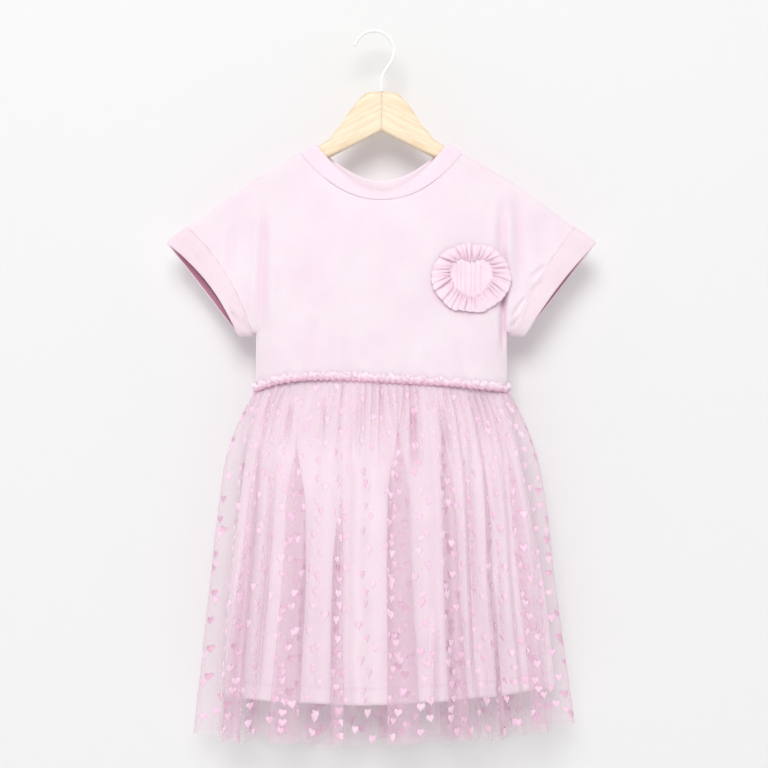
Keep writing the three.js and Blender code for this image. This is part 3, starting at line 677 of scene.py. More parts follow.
def wood_finish(name, side):
    """Grain that runs along the arm, which falls to its side, and a zigzag joint where the two arms meet."""
    finish = Finish(name, Roughness=0.5, Coat_Roughness=0.3, Specular_IOR_Level=0.4)
    place = finish.place()
    x, y, z = (finish.part(place, axis) for axis in "XYZ")
    from_joint = x - CENTRE_X * MM
    along = from_joint * side * 0.89 - z * 0.455
    across = from_joint * side * 0.455 + z * 0.89
    vector = finish.node("ShaderNodeCombineXYZ", {}, {"X": along * 6, "Y": y * 30, "Z": across * 60})
    grain = finish.noise(vector, 4.5, 5, 0.62)
    pores = finish.noise(finish.stretch(vector, 1, 5, 5), 9, 3, 0.6)
    rings = ((across + grain * 0.006 + along * 0.02) * (2 * np.pi / RINGS)).sine() * 0.5 + 0.5
    ringed = finish.blend(rings * 0.17, finish.tinted(grain.between(0.3, 0.7), "wood"), RING_BROWN)
    pored = finish.blend(pores.between(0.55, 0.75) * 0.25, ringed, PORE_BROWN)
    teeth = z * 1000 / 2.6
    zigzag = (teeth.math("PINGPONG", teeth, 1.0) - 0.5) * 0.0052
    joint = 1 - (from_joint - zigzag).absolute().between(0.0001, 0.0005)
    finish.feed("Base Color", finish.blend(joint * 0.3, pored, JOINT_BROWN))
    finish.feed("Roughness", 0.42 + grain * 0.2)
    finish.feed("Coat Weight", 0.25 + grain * 0.1)
    finish.feed("Normal", finish.bump(grain * 0.6 - pores * 0.4, 0.15, 0.0004))
    return finish.material


def wire_finish():
    """White paint with a few worn spots."""
    finish = Finish("painted_wire", Roughness=0.35, Coat_Roughness=0.15, Specular_IOR_Level=0.5)
    place = finish.place()
    runs = finish.noise(place, 90, 3)
    chips = finish.noise(place, 420, 4, 0.7)
    worn = chips.between(0.7, 0.74) * runs.between(0.45, 0.6)
    finish.feed("Base Color", finish.blend(worn, *TINTS["wire"]))
    finish.feed("Roughness", 0.28 + runs * 0.2)
    finish.feed("Coat Weight", 0.5 - worn * 0.4)
    finish.feed("Normal", finish.bump(runs - worn, 0.1, 0.0004))
    return finish.material


# Bodice surface


def ridge_z(x):
    """The line over the hanger and sleeves: one slope to the shoulder's end and another beyond it."""
    out = np.abs(x) - SHOULDER_X
    sleeve_slope = (SHOULDER_Z - SLEEVE_TIP[1]) / (SLEEVE_TIP[0] - SHOULDER_X)
    return SHOULDER_Z - np.where(out < 0, SHOULDER_SLOPE, sleeve_slope) * out


def waist_z(x):
    """The waist seam: higher in the middle by a flat arch that leans to the left."""
    share = np.clip(x / UNDERARM_X, -1, 1)
    return WAIST_SIDE_Z + WAIST_RISE * (1 - WAIST_LEAN * share) * (1 - share**WAIST_POWER)


def seam_distance(x, z):
    """Distance from the seam that runs from the sleeve's corner to the underarm and down the side."""
    along_x, along_z = SLEEVE_CORNER[0] - UNDERARM_X, SLEEVE_CORNER[1] - UNDERARM_Z
    from_x, from_z = np.abs(x) - UNDERARM_X, z - UNDERARM_Z
    share = np.clip((from_x * along_x + from_z * along_z) / (along_x**2 + along_z**2), 0, 1)
    to_sleeve = np.hypot(from_x - share * along_x, from_z - share * along_z)
    to_side = np.where(z < UNDERARM_Z, np.abs(from_x), np.hypot(from_x, from_z))
    return np.minimum(to_sleeve, to_side)


def crease_relief(crease, x, z):
    """A trough along a bowed line, deepest in its middle, with a lower soft lip on each side."""
    run_x, run_z = crease.x1 - crease.x0, crease.z1 - crease.z0
    length = np.hypot(run_x, run_z)
    share = ((x - crease.x0) * run_x + (z - crease.z0) * run_z) / length**2
    held = np.clip(share, 0, 1)
    aside = ((x - crease.x0) * run_z - (z - crease.z0) * run_x) / length - crease.bow * 4 * held * (1 - held)
    fade = smooth(share * 3.2) * smooth((1 - share) * 3.2)
    width = crease.width * (0.8 + 0.4 * held)
    lips = bell(aside - 1.9 * width, 1.1 * width) + bell(aside + 1.9 * width, 1.2 * width)
    return crease.depth * fade * (crease.lip * lips - bell(aside, width))


def creases_relief(creases, x, z):
    return sum(crease_relief(crease, x, z) for crease in creases)


def bodice_relief(panel, x, z):
    """Creases, the hanger's ends, a slow unevenness and small puckers over the waist seam."""
    relief = creases_relief(CREASES[panel.side], x, z)
    for end_x, end_z, reach, height in HANGER_ENDS:
        relief = relief + height * bell(np.hypot(x - end_x, z - end_z), reach)
    relief = relief + 0.75 * mottle(x, z, 5 + panel.side, 45, 120)
    relief = relief + 0.2 * mottle(x, z, 8 + panel.side, 14, 30)
    above_waist = z - waist_z(x)
    puckers = ripple(x, 21 + panel.side, 0.06, 0.12) * 0.9 * bell(above_waist, 16)
    return relief + puckers * smooth(above_waist / 4 + 0.4)


def half_depth(panel, x, z):
    """Distance of the cloth from the seams' plane: a round ridge, a slow swell, and in to the side seams."""
    drop = np.maximum(0, ridge_z(x) - z)
    sleeve = smooth((np.abs(x) - SLEEVE_FROM) / (SLEEVE_TO - SLEEVE_FROM))
    full = mix(panel.depth, min(SLEEVE_DEPTH, panel.depth), sleeve)
    swell = (full - RIDGE_ROUND) * smooth((drop - RIDGE_ROUND) / SWELL_LENGTH)
    over = RIDGE_ROUND * quarter_round(drop / RIDGE_ROUND) + swell
    return over * quarter_round(seam_distance(x, z) / SEAM_ROUND)


def bodice_points(panel, x, z, gap=SEAM_GAP / 2, off=0.0):
    """Points of a bodice panel at these places, moved out by off. Its creases fade out at the seams."""
    depth = half_depth(panel, x, z)
    free = smooth((ridge_z(x) - z - 3) / 22) * smooth(seam_distance(x, z) / 5)
    y = panel.side * (gap + np.maximum(0, depth + free * bodice_relief(panel, x, z)) + off)
    return np.stack(np.broadcast_arrays(x, y, z), -1)


def neck_z(panel, x):
    share = np.abs(x) / NECK_SEAM_X
    return ridge_z(np.array(NECK_SEAM_X)) - panel.neck_drop * (1 - share**NECK_POWER)


def row_shares(length, ridge_rows=12, rows=74):
    """Shares of the way down: close together where the cloth turns over the ridge, then even."""
    turn = RIDGE_ROUND * (1 - np.cos(np.linspace(0, np.pi / 2, ridge_rows)))[:, None] / length
    below = mix(RIDGE_ROUND / length, 1, np.linspace(0, 1, rows + 1)[1:, None])
    return np.concatenate([np.broadcast_to(turn, (ridge_rows, len(length))), below])


def sleeve_grid(side, shares, top_xs, lows, bows):
    """Lines down the sleeve, from places on the ridge to places below, bowed in as the hem is."""
    top_x = mix(*top_xs, shares)
    top_z = ridge_z(top_x)
    low_x, low_z = (mix(first, last, shares) for first, last in zip(*lows))
    length = np.hypot(top_x - low_x, top_z - low_z)
    t = row_shares(length)
    push = mix(*bows, shares) * 4 * t * (1 - t)
    x = mix(top_x, low_x, t) - (top_z - low_z) / length * push
    z = mix(top_z, low_z, t) + (top_x - low_x) / length * push
    return side * x, z


def cuff_places(panel, side, shares):
    bow = panel.hem_bow[side > 0]
    return sleeve_grid(side, shares, (CUFF_TOP_X, SLEEVE_TIP[0]), (CUFF_BOTTOM, SLEEVE_CORNER), (bow, bow))


def outward(panel, grid):
    """Columns in the order that faces a panel's outside."""
    return grid if panel.side < 0 else grid[:, ::-1]


def bodice_panel(name, panel, materials):
    """The chest's columns from neck and shoulder to waist, and a sleeve's lines on each side of them."""
    neck = NECK_SEAM_X * np.sin(np.radians(np.linspace(0, 90, 35)))
    flank = mix(NECK_SEAM_X, UNDERARM_X, np.sin(np.radians(np.linspace(0, 90, 26)[1:])))
    half = np.concatenate([neck, flank])
    x = np.concatenate([-half[:0:-1], half])
    top = np.where(np.abs(x) < NECK_SEAM_X, neck_z(panel, x), ridge_z(x))
    upper = mix(top, UNDERARM_Z, row_shares(top - UNDERARM_Z))
    lower = mix(UNDERARM_Z, waist_z(x) + 0.1, np.linspace(0, 1, 27)[1:, None])
    z = np.concatenate([upper, lower])
    grids = [outward(panel, bodice_points(panel, np.broadcast_to(x, z.shape), z))]
    shares = np.linspace(0, 1, 30)
    lows = (UNDERARM_X, UNDERARM_Z), CUFF_BOTTOM
    for side in (1, -1):
        bow = panel.hem_bow[side > 0]
        to_cuff = sleeve_grid(side, shares, (UNDERARM_X, CUFF_TOP_X), lows, (0, bow))
        to_hem = cuff_places(panel, side, np.linspace(0, 0.985, 12)[1:])
        places = [np.concatenate(pair, 1) for pair in zip(to_cuff, to_hem)]
        grid = bodice_points(panel, *places)
        grids.append(outward(panel, grid if side > 0 else grid[:, ::-1]))
    points, faces = welded(grids)
    x, z = points[:, 0], points[:, 2]
    trough = np.clip(-creases_relief(CREASES[panel.side], x, z) / 5.0, 0, 1) * 0.42
    if panel is FRONT:  # the ruffle shades the cloth under its lower rim
        from_rim = np.hypot((x - POCKET_X) / 43, (z - POCKET_Z) / 38) - 1
        trough += 0.4 * bell(from_rim * 40, 3.5) * smooth((POCKET_Z - z) / 20)
    return cloth_wall(mesh_piece(name, points, faces, materials, values={"trough": trough}), JERSEY)


def cuff_piece(name, side, materials):
    """The sleeve's end turned up: its surface moved out, closed round the sleeve, and rolled at the hem."""
    shares = np.linspace(0, 1, 14)
    front, back = (bodice_points(panel, *cuff_places(panel, side, shares), gap=0) for panel in (FRONT, BACK))
    ring = np.concatenate([front, back[-2:0:-1]]).transpose(1, 0, 2)[:, ::-side]
    normal = -grid_normals(ring, True)
    normal = normal * np.sign((normal[..., 1] * ring[..., 1]).mean())
    around = np.linspace(0, 1, ring.shape[1], endpoint=False) * 20
    down = shares[:, None]
    slack = 0.35 * (1 + ripple(around, 31 + side, 0.2, 1.1)) * (1 - down) ** 2
    puff = 0.95 + 0.4 * down + slack + 0.45 * np.sin(np.pi * down) ** 0.7
    outer = ring + normal * puff[..., None]
    back_up = unit(ring[0] - ring[1])
    outer[0] += back_up * (ripple(around, 37 + side, 0.3, 1.3) * 0.7)[:, None]
    lip = ring[:1] + normal[:1] * 0.6
    beyond = unit(ring[-1] - ring[-2])
    turn = np.radians(np.linspace(15, 180, 9))[:, None, None]
    roll = ring[-1] + normal[-1] * 1.35 * np.cos(turn) + beyond * 1.5 * np.sin(turn)
    inner = ring[-2:-6:-1] - normal[-2:-6:-1] * 1.35
    points = np.concatenate([lip, outer, roll, inner])
    faces = grid_faces(*points.shape[:2], True)[:, ::-side]
    obj = mesh_piece(name, points, faces, materials, cloth_uv(points))
    row = np.repeat(np.arange(len(points) - 1), points.shape[1])
    # the rows rolled inside the sleeve take the dark rose of painted shade
    obj.data.polygons.foreach_set("material_index", (row >= len(points) - 6).astype(np.int32))
    return cloth_wall(obj, CUFF_JERSEY)


def neck_band(materials):
    """A flat rounded tube: its middle surface runs from the free edge through a raised middle to the seam."""
    halves = []
    for panel in (FRONT, BACK):
        s = np.sin(np.radians(panel.side * np.linspace(90, -90, 121)[:-1]))
        seam_x, edge_x = NECK_SEAM_X * s, NECK_EDGE_X * s
        edge_z = ridge_z(np.array(NECK_EDGE_X)) - panel.edge_drop * (1 - np.abs(s) ** BAND_EDGE_POWER)
        lean = panel.lean * np.maximum(0, 1 - (edge_x / BAND_LEAN_WITHIN) ** 2) ** 1.5
        seam = bodice_points(panel, seam_x, neck_z(panel, seam_x), gap=0)
        edge = bodice_points(panel, edge_x, edge_z, gap=0)
        edge[:, 1] -= panel.side * lean
        groove = mix(BAND_FROM_SEAM, GROOVE_CLOSED, smooth((np.abs(s) - 0.62) / 0.22))
        seam = seam + unit(edge - seam) * groove[:, None]
        middle = (seam + edge) / 2
        fallen = bodice_points(panel, middle[:, 0], middle[:, 2], gap=0)
        tip = np.abs(s) ** 8
        middle[:, 1] = (fallen[:, 1] + middle[:, 1]) / 2 + panel.side * BAND_BULGE * (1 - tip)
        middle[:, 2] += BAND_BULGE * tip
        halves.append(np.stack([edge, middle, seam]))
    edge, middle, seam = np.concatenate(halves, 1)
    v = ((1 - np.cos(np.linspace(0, np.pi, 13))) / 2)[:, None, None]
    sheet = edge * (1 - v) * (1 - 2 * v) + middle * 4 * v * (1 - v) + seam * v * (2 * v - 1)
    normal = grid_normals(sheet, True)
    thick = RIB / 2 * np.sqrt(np.maximum(0, 1 - (2 * v - 1) ** 6))
    outer, inner = sheet + normal * thick, sheet - normal * thick
    points = np.concatenate([outer, inner[-2:0:-1]])
    rows, columns = points.shape[:2]
    faces = grid_faces(rows + 1, columns, True) % (rows * columns)
    along = np.broadcast_to(arc_lengths(sheet, 1)[6], (rows, columns))
    width = np.broadcast_to(np.linspace(0, 36, rows)[:, None], (rows, columns))
    uv = np.stack([along, width], -1)
    within = (np.arange(rows) >= len(sheet) - 1)[:, None] & (np.arange(columns) >= columns // 2)
    return mesh_piece("neck_rib", points, faces, materials, uv, {"within": within})


# Pocket


def heart_top(u):
    away = np.abs(u) - LOBE_AT
    spread = np.where(away > 0, 1 - LOBE_AT, LOBE_SPREAD)
    return POCKET_WAIST + POCKET_LOBE * np.sqrt(np.maximum(0, 1 - (away / spread) ** 2))


def heart_bottom(u):
    return POCKET_WAIST - POCKET_POINT * np.maximum(0, 1 - np.abs(u) ** 1.9) ** 0.75


def pocket_patch(materials):
    """The heart's columns on the bodice, moved out, with a narrow raised ridge at each pin-tuck."""
    rows, columns = 26, 151
    u = np.sin(np.linspace(-np.pi / 2, np.pi / 2, columns))
    v = np.linspace(0, 1, rows)[:, None]
    x = np.broadcast_to(POCKET_X + POCKET_HALF * u, (rows, columns))
    z = POCKET_Z + mix(heart_top(u), heart_bottom(u), v)
    wander = 0.25 * np.sin(z[..., None] / 6 + TUCKS_X)
    tuck = bell(np.abs(x[..., None] - TUCKS_X - wander).min(-1), 0.65)
    sewn = smooth(v * 8) * smooth((1 - v) * 8)
    puff = 0.7 * (1 - np.abs(u) ** 6) * sewn
    relief = 0.6 * tuck + creases_relief(PATCH_CREASES, x, z)
    points = bodice_points(FRONT, x, z, off=1.3 + puff + relief * sewn)
    uv = np.stack([x, z], -1)
    values = {"tuck": tuck * sewn}
    obj = mesh_piece("pocket_patch", points, grid_faces(rows, columns), materials, uv, values)
    return cloth_wall(obj, PATCH_JERSEY)


def ruffle_folds(angle, w, wave, fine):
    """Height of the ruffle's waves, with a sharp pinch and a soft ridge beside it at each of its creases."""

    def all_round(shift, width):
        angles = [(angle - np.radians(at + shift), depth) for at, depth in RUFFLE_CREASES]
        return sum(depth * bell(2 * np.sin(away / 2), width) for away, depth in angles)

    free = np.sin(np.pi * np.minimum(1, 0.1 + w)) ** 0.7
    pinches = 1.15 * all_round(0, 0.034) - 0.8 * all_round(5.5, 0.05)
    return 1.5 * wave * (0.25 + 0.5 * free) + fine * (1 - w) * 1.6 - pinches * (0.6 + 0.4 * free)


def pocket_ruffle(materials):
    """Round the patch: uneven waves that grow from the seam to the free edge and lean over on the way."""
    count, rows = 600, 18
    angle = np.linspace(0, 2 * np.pi, count, endpoint=False)
    u, w = np.sin(angle), np.linspace(0, 1, rows)[:, None]
    heart = np.where(np.cos(angle) > 0, heart_top(u), heart_bottom(u))
    turns = angle / (2 * np.pi)
    heights = np.random.default_rng(12).uniform(0.55, 1.25, RUFFLE_WAVES + 1)
    heights[-1] = heights[0]
    drift = 0.32 * np.sin(2 * np.pi * 5 * turns + 0.6) + 0.22 * np.sin(2 * np.pi * 11 * turns + 2.1)
    phase = RUFFLE_WAVES * turns + drift
    height = np.interp(phase % RUFFLE_WAVES, np.arange(RUFFLE_WAVES + 1), heights)
    wave = np.cos(2 * np.pi * (phase + 0.1 * w)) * height
    fine = np.cos(2 * np.pi * (2.0 * phase + 0.3)) * 0.35 * height
    lift = 2.6 * np.sin(np.pi / 2 * np.minimum(1, w * 1.6)) - 1.2 * w**3
    off = np.maximum(1.7, 2.4 + lift + ruffle_folds(angle, w, wave, fine))
    reach_x = RUFFLE_REACH[0] + 0.5 * wave + 1.1 * ripple(turns, 44, 3, 9)
    reach_z = RUFFLE_REACH[1] + 0.5 * wave + 1.1 * ripple(turns, 45, 3, 9)
    pucker = 1 - 0.055 * np.cos(2 * np.pi * phase) * height - 0.02 * np.cos(2 * np.pi * 2.3 * phase)
    inner_x, inner_z = POCKET_HALF * u * 0.92 * pucker, heart * 0.92 * pucker
    sway = 1.1 * np.sin(2 * np.pi * phase) * height * w
    x = POCKET_X + mix(inner_x, reach_x * u, w) + np.cos(angle) * sway
    z = POCKET_Z + mix(inner_z, reach_z * np.cos(angle), w) - u * sway
    base = bodice_points(FRONT, np.minimum(x, RUFFLE_LIES_WITHIN), z)
    points = np.stack([x, base[..., 1] - off, z], -1)[:, ::-1]
    values = {"rise": np.broadcast_to(w, (rows, count))}
    faces = grid_faces(rows, count, True)[:, ::-1]
    obj = mesh_piece("heart_ruffle", points, faces, materials, cloth_uv(points), values)
    return cloth_wall(obj, RUFFLE_JERSEY)


# Skirts


def fold_line(folds, count):
    """Where a panel's columns stand, from its left seam to its right one, and their share of a fold."""
    valleys = np.array([valley for valley, _ in folds])
    crests = np.array([crest for _, crest in folds])
    q = np.linspace(-1, len(folds), count)
    k = np.clip(np.floor(q).astype(int), 0, len(folds) - 2)
    phase = q - k
    across = mix(valleys[k], valleys[k + 1], phase)
    swell = crests[k] * np.sin(np.pi * phase) ** 2
    left, right = q < 0, q > len(folds) - 1
    out = q + 1
    across = np.where(left, mix(-1, valleys[0], out**2), across)
    swell = np.where(left, np.sin(np.pi * (1 - out) / 2) ** 2, swell)
    out = len(folds) - q
    across = np.where(right, mix(1, valleys[-1], out**2), across)
    swell = np.where(right, np.sin(np.pi * (1 - out) / 2) ** 2, swell)
    return across, swell


def skirt_points(panel, table, drop, across, swell, extra=0.0):
    """A section that is nearly an oval, with its folds outwards, hung from the waist to the sagging hem."""
    _, middle, half, front, back, fold = (column[:, None] for column in table_at(table, drop).T)
    share = ((drop - table[0, 0]) / (table[-1, 0] - table[0, 0]))[:, None]
    depth = front if panel.side < 0 else back
    half = half - fold
    cosine = np.sqrt(np.maximum(0, 1 - across**2))
    out_x, out_y = depth * across, half * cosine
    length = np.maximum(np.hypot(out_x, out_y), 1e-9)
    height = fold * swell + extra
    x = middle + half * across + out_x / length * height
    y = SEAM_GAP / 2 + depth * cosine**0.8 + out_y / length * height
    line = mix(waist_z(x), WAIST_SIDE_Z - panel.hem_sag * (1 - across**2), share)
    z = line + HEM_TILT * across * share - 0.1 - drop[:, None]
    return np.stack(np.broadcast_arrays(x, panel.side * y, z), -1)


def lining_panel(name, panel, folds, materials):
    """The jersey lining: its folds, a thicker turned hem and slow unevenness."""
    drop = np.linspace(UNDERSKIRT[0, 0], UNDERSKIRT[-1, 0], 90)
    across, swell = fold_line(folds, 230)
    length = UNDERSKIRT[-1, 0] - drop
    share = (drop / drop[-1])[:, None]
    gathers = ripple(across * 6, 40 + panel.side, 1.2, 3.0) * 0.6 * (1 - share) * smooth(share * 20)
    loose = mottle(*np.broadcast_arrays(across * 170, -drop[:, None]), 50 + panel.side, 70, 190) * 1.6 * share
    hem = 0.45 * (1 - smooth((length - 15) / 1.5))[:, None] - 0.5 * bell(length - 15.5, 0.9)[:, None]
    edge = smooth((1 - np.abs(across)) * 12)
    points = skirt_points(panel, UNDERSKIRT, drop, across, swell, (gathers + loose + hem) * edge)
    uv = outward(panel, cloth_uv(points))
    values = {"above_hem": np.broadcast_to(length[:, None], points.shape[:2])}
    faces = grid_faces(*points.shape[:2])
    return cloth_wall(mesh_piece(name, outward(panel, points), faces, materials, uv, values), JERSEY)


def seam_crinkle(x, panel):
    """How far the waist seam wanders up and down where the gathers pull it."""
    return 0.9 * ripple(x, 15 + panel.side, 0.06, 0.19)


def net_tucks(panel, even, share):
    """Where the tucks carry the net across and lift it, and how far it lies over itself."""
    across = np.broadcast_to(even, (len(share), len(even))).copy()
    lift, layered = np.zeros_like(across), np.zeros_like(across)
    for number, tuck in enumerate(NET_TUCKS[panel.side]):
        wander = 0.012 * ripple(share, 60 + number, 0.4, 1.3)
        t = (even - tuck.across) / tuck.width + 0.5
        inside = smooth(t * 5) * smooth((1 - t) * 5)
        grown = smooth((share - tuck.begins) / 0.35 + 0.12)[:, None] * (0.75 + 0.25 * share[:, None])
        t = np.clip(t, 0, 1)
        across += tuck.width * tuck.depth * grown * np.sin(2 * np.pi * t) + wander[:, None] * inside
        back_down = 1 - smooth((even - tuck.across - tuck.width / 2) / (tuck.width * 1.2))
        lift += 3.2 * grown * smooth(t) * back_down * (even > tuck.across - tuck.width / 2)
        layered += grown * inside
    return np.clip(across, -1, 1), lift, np.minimum(layered, 1)


def net_grid(panel, folds):
    """The net's points, from main folds, tucks, creases and gathers, and how much its gathered layers and
    painted shade deepen it.
    """
    rows, columns = 100, 560
    drop = mix(-NET_HELD, OVERSKIRT[-1, 0], np.linspace(0, 1, rows) ** 1.25)
    share = (drop - drop[0]) / (drop[-1] - drop[0])
    line_across, line_swell = fold_line(folds, 4000)
    keep = np.concatenate([[True], np.diff(line_across) > 1e-9])
    line_across, line_swell = line_across[keep], line_swell[keep]
    even = np.interp(np.linspace(0, 1, columns), np.linspace(0, 1, len(line_across)), line_across)
    across, lift, layered = net_tucks(panel, even, share)
    swell = np.interp(across, line_across, line_swell)
    top = share[:, None]
    below_seam = (drop + NET_HELD)[:, None]
    flat = even * 230
    wander = 7 * mottle(flat + 0 * top, 360 * top + 0 * flat, 66 + panel.side, 60, 170) * top
    fine = ripple(flat + 0.5 * wander, 70 + panel.side, 0.045, 0.105, 9) * 2.1
    middling = ripple(flat + wander, 80 + panel.side, 0.012, 0.035, 7) * 4.5
    held = 0.25 + 0.75 * smooth(top * 45)
    near_waist = 1 - smooth(top / 0.27)
    sewn_in = -1.0 * (1 - quarter_round(below_seam / 2.2))
    gathers = fine * held * (0.04 + 0.96 * near_waist) + middling * smooth(top / 0.35)
    edge = smooth((1 - np.abs(even)) * 14)
    plain = skirt_points(panel, OVERSKIRT, drop, across, swell)
    creases = creases_relief(NET_CREASES[panel.side], plain[..., 0], plain[..., 2])
    raised = (gathers + creases + lift) * edge + sewn_in
    points = skirt_points(panel, OVERSKIRT, drop, across, swell, raised)
    # at the seam it comes out as far as the bodice, and falls back to its own section below
    seam_x = np.clip(points[..., 0], -UNDERARM_X, UNDERARM_X)
    body = np.abs(bodice_points(panel, seam_x, waist_z(seam_x))[..., 1]) + NET_HELD + 0.35 * fine
    short = np.maximum(0, body - np.abs(points[..., 1]))
    points[..., 1] += panel.side * short * (1 - smooth(below_seam / 26))
    points[..., 2] += seam_crinkle(points[..., 0], panel) * (1 - smooth(top / 0.06))
    hem_wave = (2.4 * ripple(flat, 90 + panel.side, 0.008, 0.022) + 0.12 * fine) * smooth((top - 0.8) / 0.2)
    points[..., 2] += hem_wave * edge
    points[..., 0] += 0.5 * fine * held * edge * (1 - smooth(top / 0.35))
    gathered = 0.55 * (1 - smooth(top / 0.3)) + 0.15 * layered * edge * (0.5 + 0.5 * smooth(top * 5))
    # painted shade: a deep rose line along the waist seam, where the net also grows denser
    gathered += 2.4 * bell(below_seam, 2.4) * np.clip(0.6 + 0.5 * fine, 0, 1.4)
    # painted shade in the creases' troughs and between the fine gathers near the waist
    gathered += 0.8 * np.clip(-creases / 4, 0, 1.2) + 0.8 * np.clip(-fine / 1.5, 0, 1) * near_waist
    return points, gathered


def net_panel(name, panel, points, gathered, materials):
    """The net's mesh. Cloth coordinates run across it as half-way down, so that its threads stay straight."""
    along = np.broadcast_to(arc_lengths(points, 1)[60], points.shape[:2])
    uv = np.stack([along, arc_lengths(points, 0)], -1)
    points, uv, gathered = (outward(panel, grid) for grid in (points, uv, gathered))
    return mesh_piece(name, points, grid_faces(*points.shape[:2]), materials, uv, {"gathered": gathered})


def grid_sample(grid, row, column):
    """Points of a grid between its rows and columns, by mixing the four round each."""
    i = np.clip(np.floor(row).astype(int), 0, grid.shape[0] - 2)
    j = np.clip(np.floor(column).astype(int), 0, grid.shape[1] - 2)
    a, b = (row - i)[..., None], (column - j)[..., None]
    upper = grid[i, j] * (1 - b) + grid[i, j + 1] * b
    lower = grid[i + 1, j] * (1 - b) + grid[i + 1, j + 1] * b
    return upper * (1 - a) + lower * a


def heart_places(rng, width, length):
    """Places of the hearts on the flat net, clear of its edges: each cell of the repeat holds five."""
    cell_x, cell_z = HEART_CELL
    counts = np.arange(int(width / cell_x) + 2), np.arange(-1, int(length / cell_z) + 2)
    i, j, k = np.meshgrid(*counts, np.arange(len(HEARTS_IN_CELL)), indexing="ij")
    x = i * cell_x + HEARTS_IN_CELL[k, 0] + rng.normal(0, 4.0, i.shape) + 4
    z = j * cell_z + HEARTS_IN_CELL[k, 1] + (i % 2) * 31 + (i % 3) * 9 + rng.normal(0, 3.5, i.shape)
    fits = (x > 5) & (x < width - 5) & (z > 6) & (z < length - 4.5)
    return x[fits][:, None], z[fits][:, None]


def flocked_hearts(name, panel, grid, materials):
    """Small raised hearts on the net's own surface, each a cap of two rings and a middle."""
    rng = np.random.default_rng(300 + panel.side)
    along = arc_lengths(grid, 1)[int(grid.shape[0] * 0.7)]
    down = arc_lengths(grid, 0)[:, grid.shape[1] // 2]
    place_x, place_z = heart_places(rng, along[-1], down[-1])
    count, sides = len(place_x), 14
    t = np.linspace(0, 2 * np.pi, sides + 1)[:-1]
    outline_x = 16 * np.sin(t) ** 3
    outline_z = 13 * np.cos(t) - 5 * np.cos(2 * t) - 2 * np.cos(3 * t) - np.cos(4 * t) + 2
    local_x = np.concatenate([outline_x, outline_x, outline_x * 0.6, [0]]) / 3.4
    local_z = np.concatenate([outline_z, outline_z, outline_z * 0.6, [0]]) / 2.9
    rise = np.append(np.repeat([0.05, 0.3, 0.55], sides), 0.6)
    turn = rng.normal(0, 0.13, (count, 1))
    size = rng.uniform(0.88, 1.06, (count, 1))
    x = (local_x * np.cos(turn) - local_z * np.sin(turn)) * size
    z = (local_x * np.sin(turn) + local_z * np.cos(turn)) * size
    column = np.interp(place_x + x, along, np.arange(len(along)))
    row = np.interp(place_z - z, down, np.arange(len(down)))
    normal = -panel.side * grid_normals(grid)
    points = grid_sample(grid, row, column) + grid_sample(normal, row, column) * rise[:, None]
    ring = np.arange(sides)
    after = (ring + 1) % sides
    low, top = 2 * sides, 3 * sides
    wall = np.stack([ring, sides + ring, sides + after, after], -1)
    quads = np.concatenate([wall, wall + sides])
    caps = np.stack([low + ring, np.full(sides, top), low + after], -1)
    start = (np.arange(count) * (top + 1))[:, None, None]
    faces = [face for part in (quads, caps) for face in (part + start).reshape(-1, part.shape[1]).tolist()]
    tint = np.broadcast_to(rng.uniform(0, 1, count)[:, None], (count, top + 1))
    obj = mesh_piece(name, points, np.array(faces, dtype=object), materials, None, {"tint": tint})
    obj.visible_shadow = False  # the net lies too close to the lining for flock this thin to shade it
    return obj


# Frill at the waist


def waist_loop(count):
    """Even places round the waist seam, and the directions along it and out of it."""
    x = UNDERARM_X * np.sin(np.radians(np.linspace(-90, 90, 241)))
    front = bodice_points(FRONT, x, waist_z(x), gap=0)
    back = bodice_points(BACK, x[::-1], waist_z(x[::-1]), gap=0)
    loop = np.concatenate([front[:-1], back[:-1], front[:1]])
    along = arc_lengths(loop, 0)
    even = np.linspace(0, along[-1], count, endpoint=False)
    at = np.stack([np.interp(even, along, loop[:, axis]) for axis in range(3)], -1)
    tangent = np.roll(at, -4, 0) - np.roll(at, 4, 0)
    out = np.stack([tangent[:, 1], -tangent[:, 0], np.zeros(count)], -1)
    return at, even, even / along[-1], unit(tangent), unit(out)


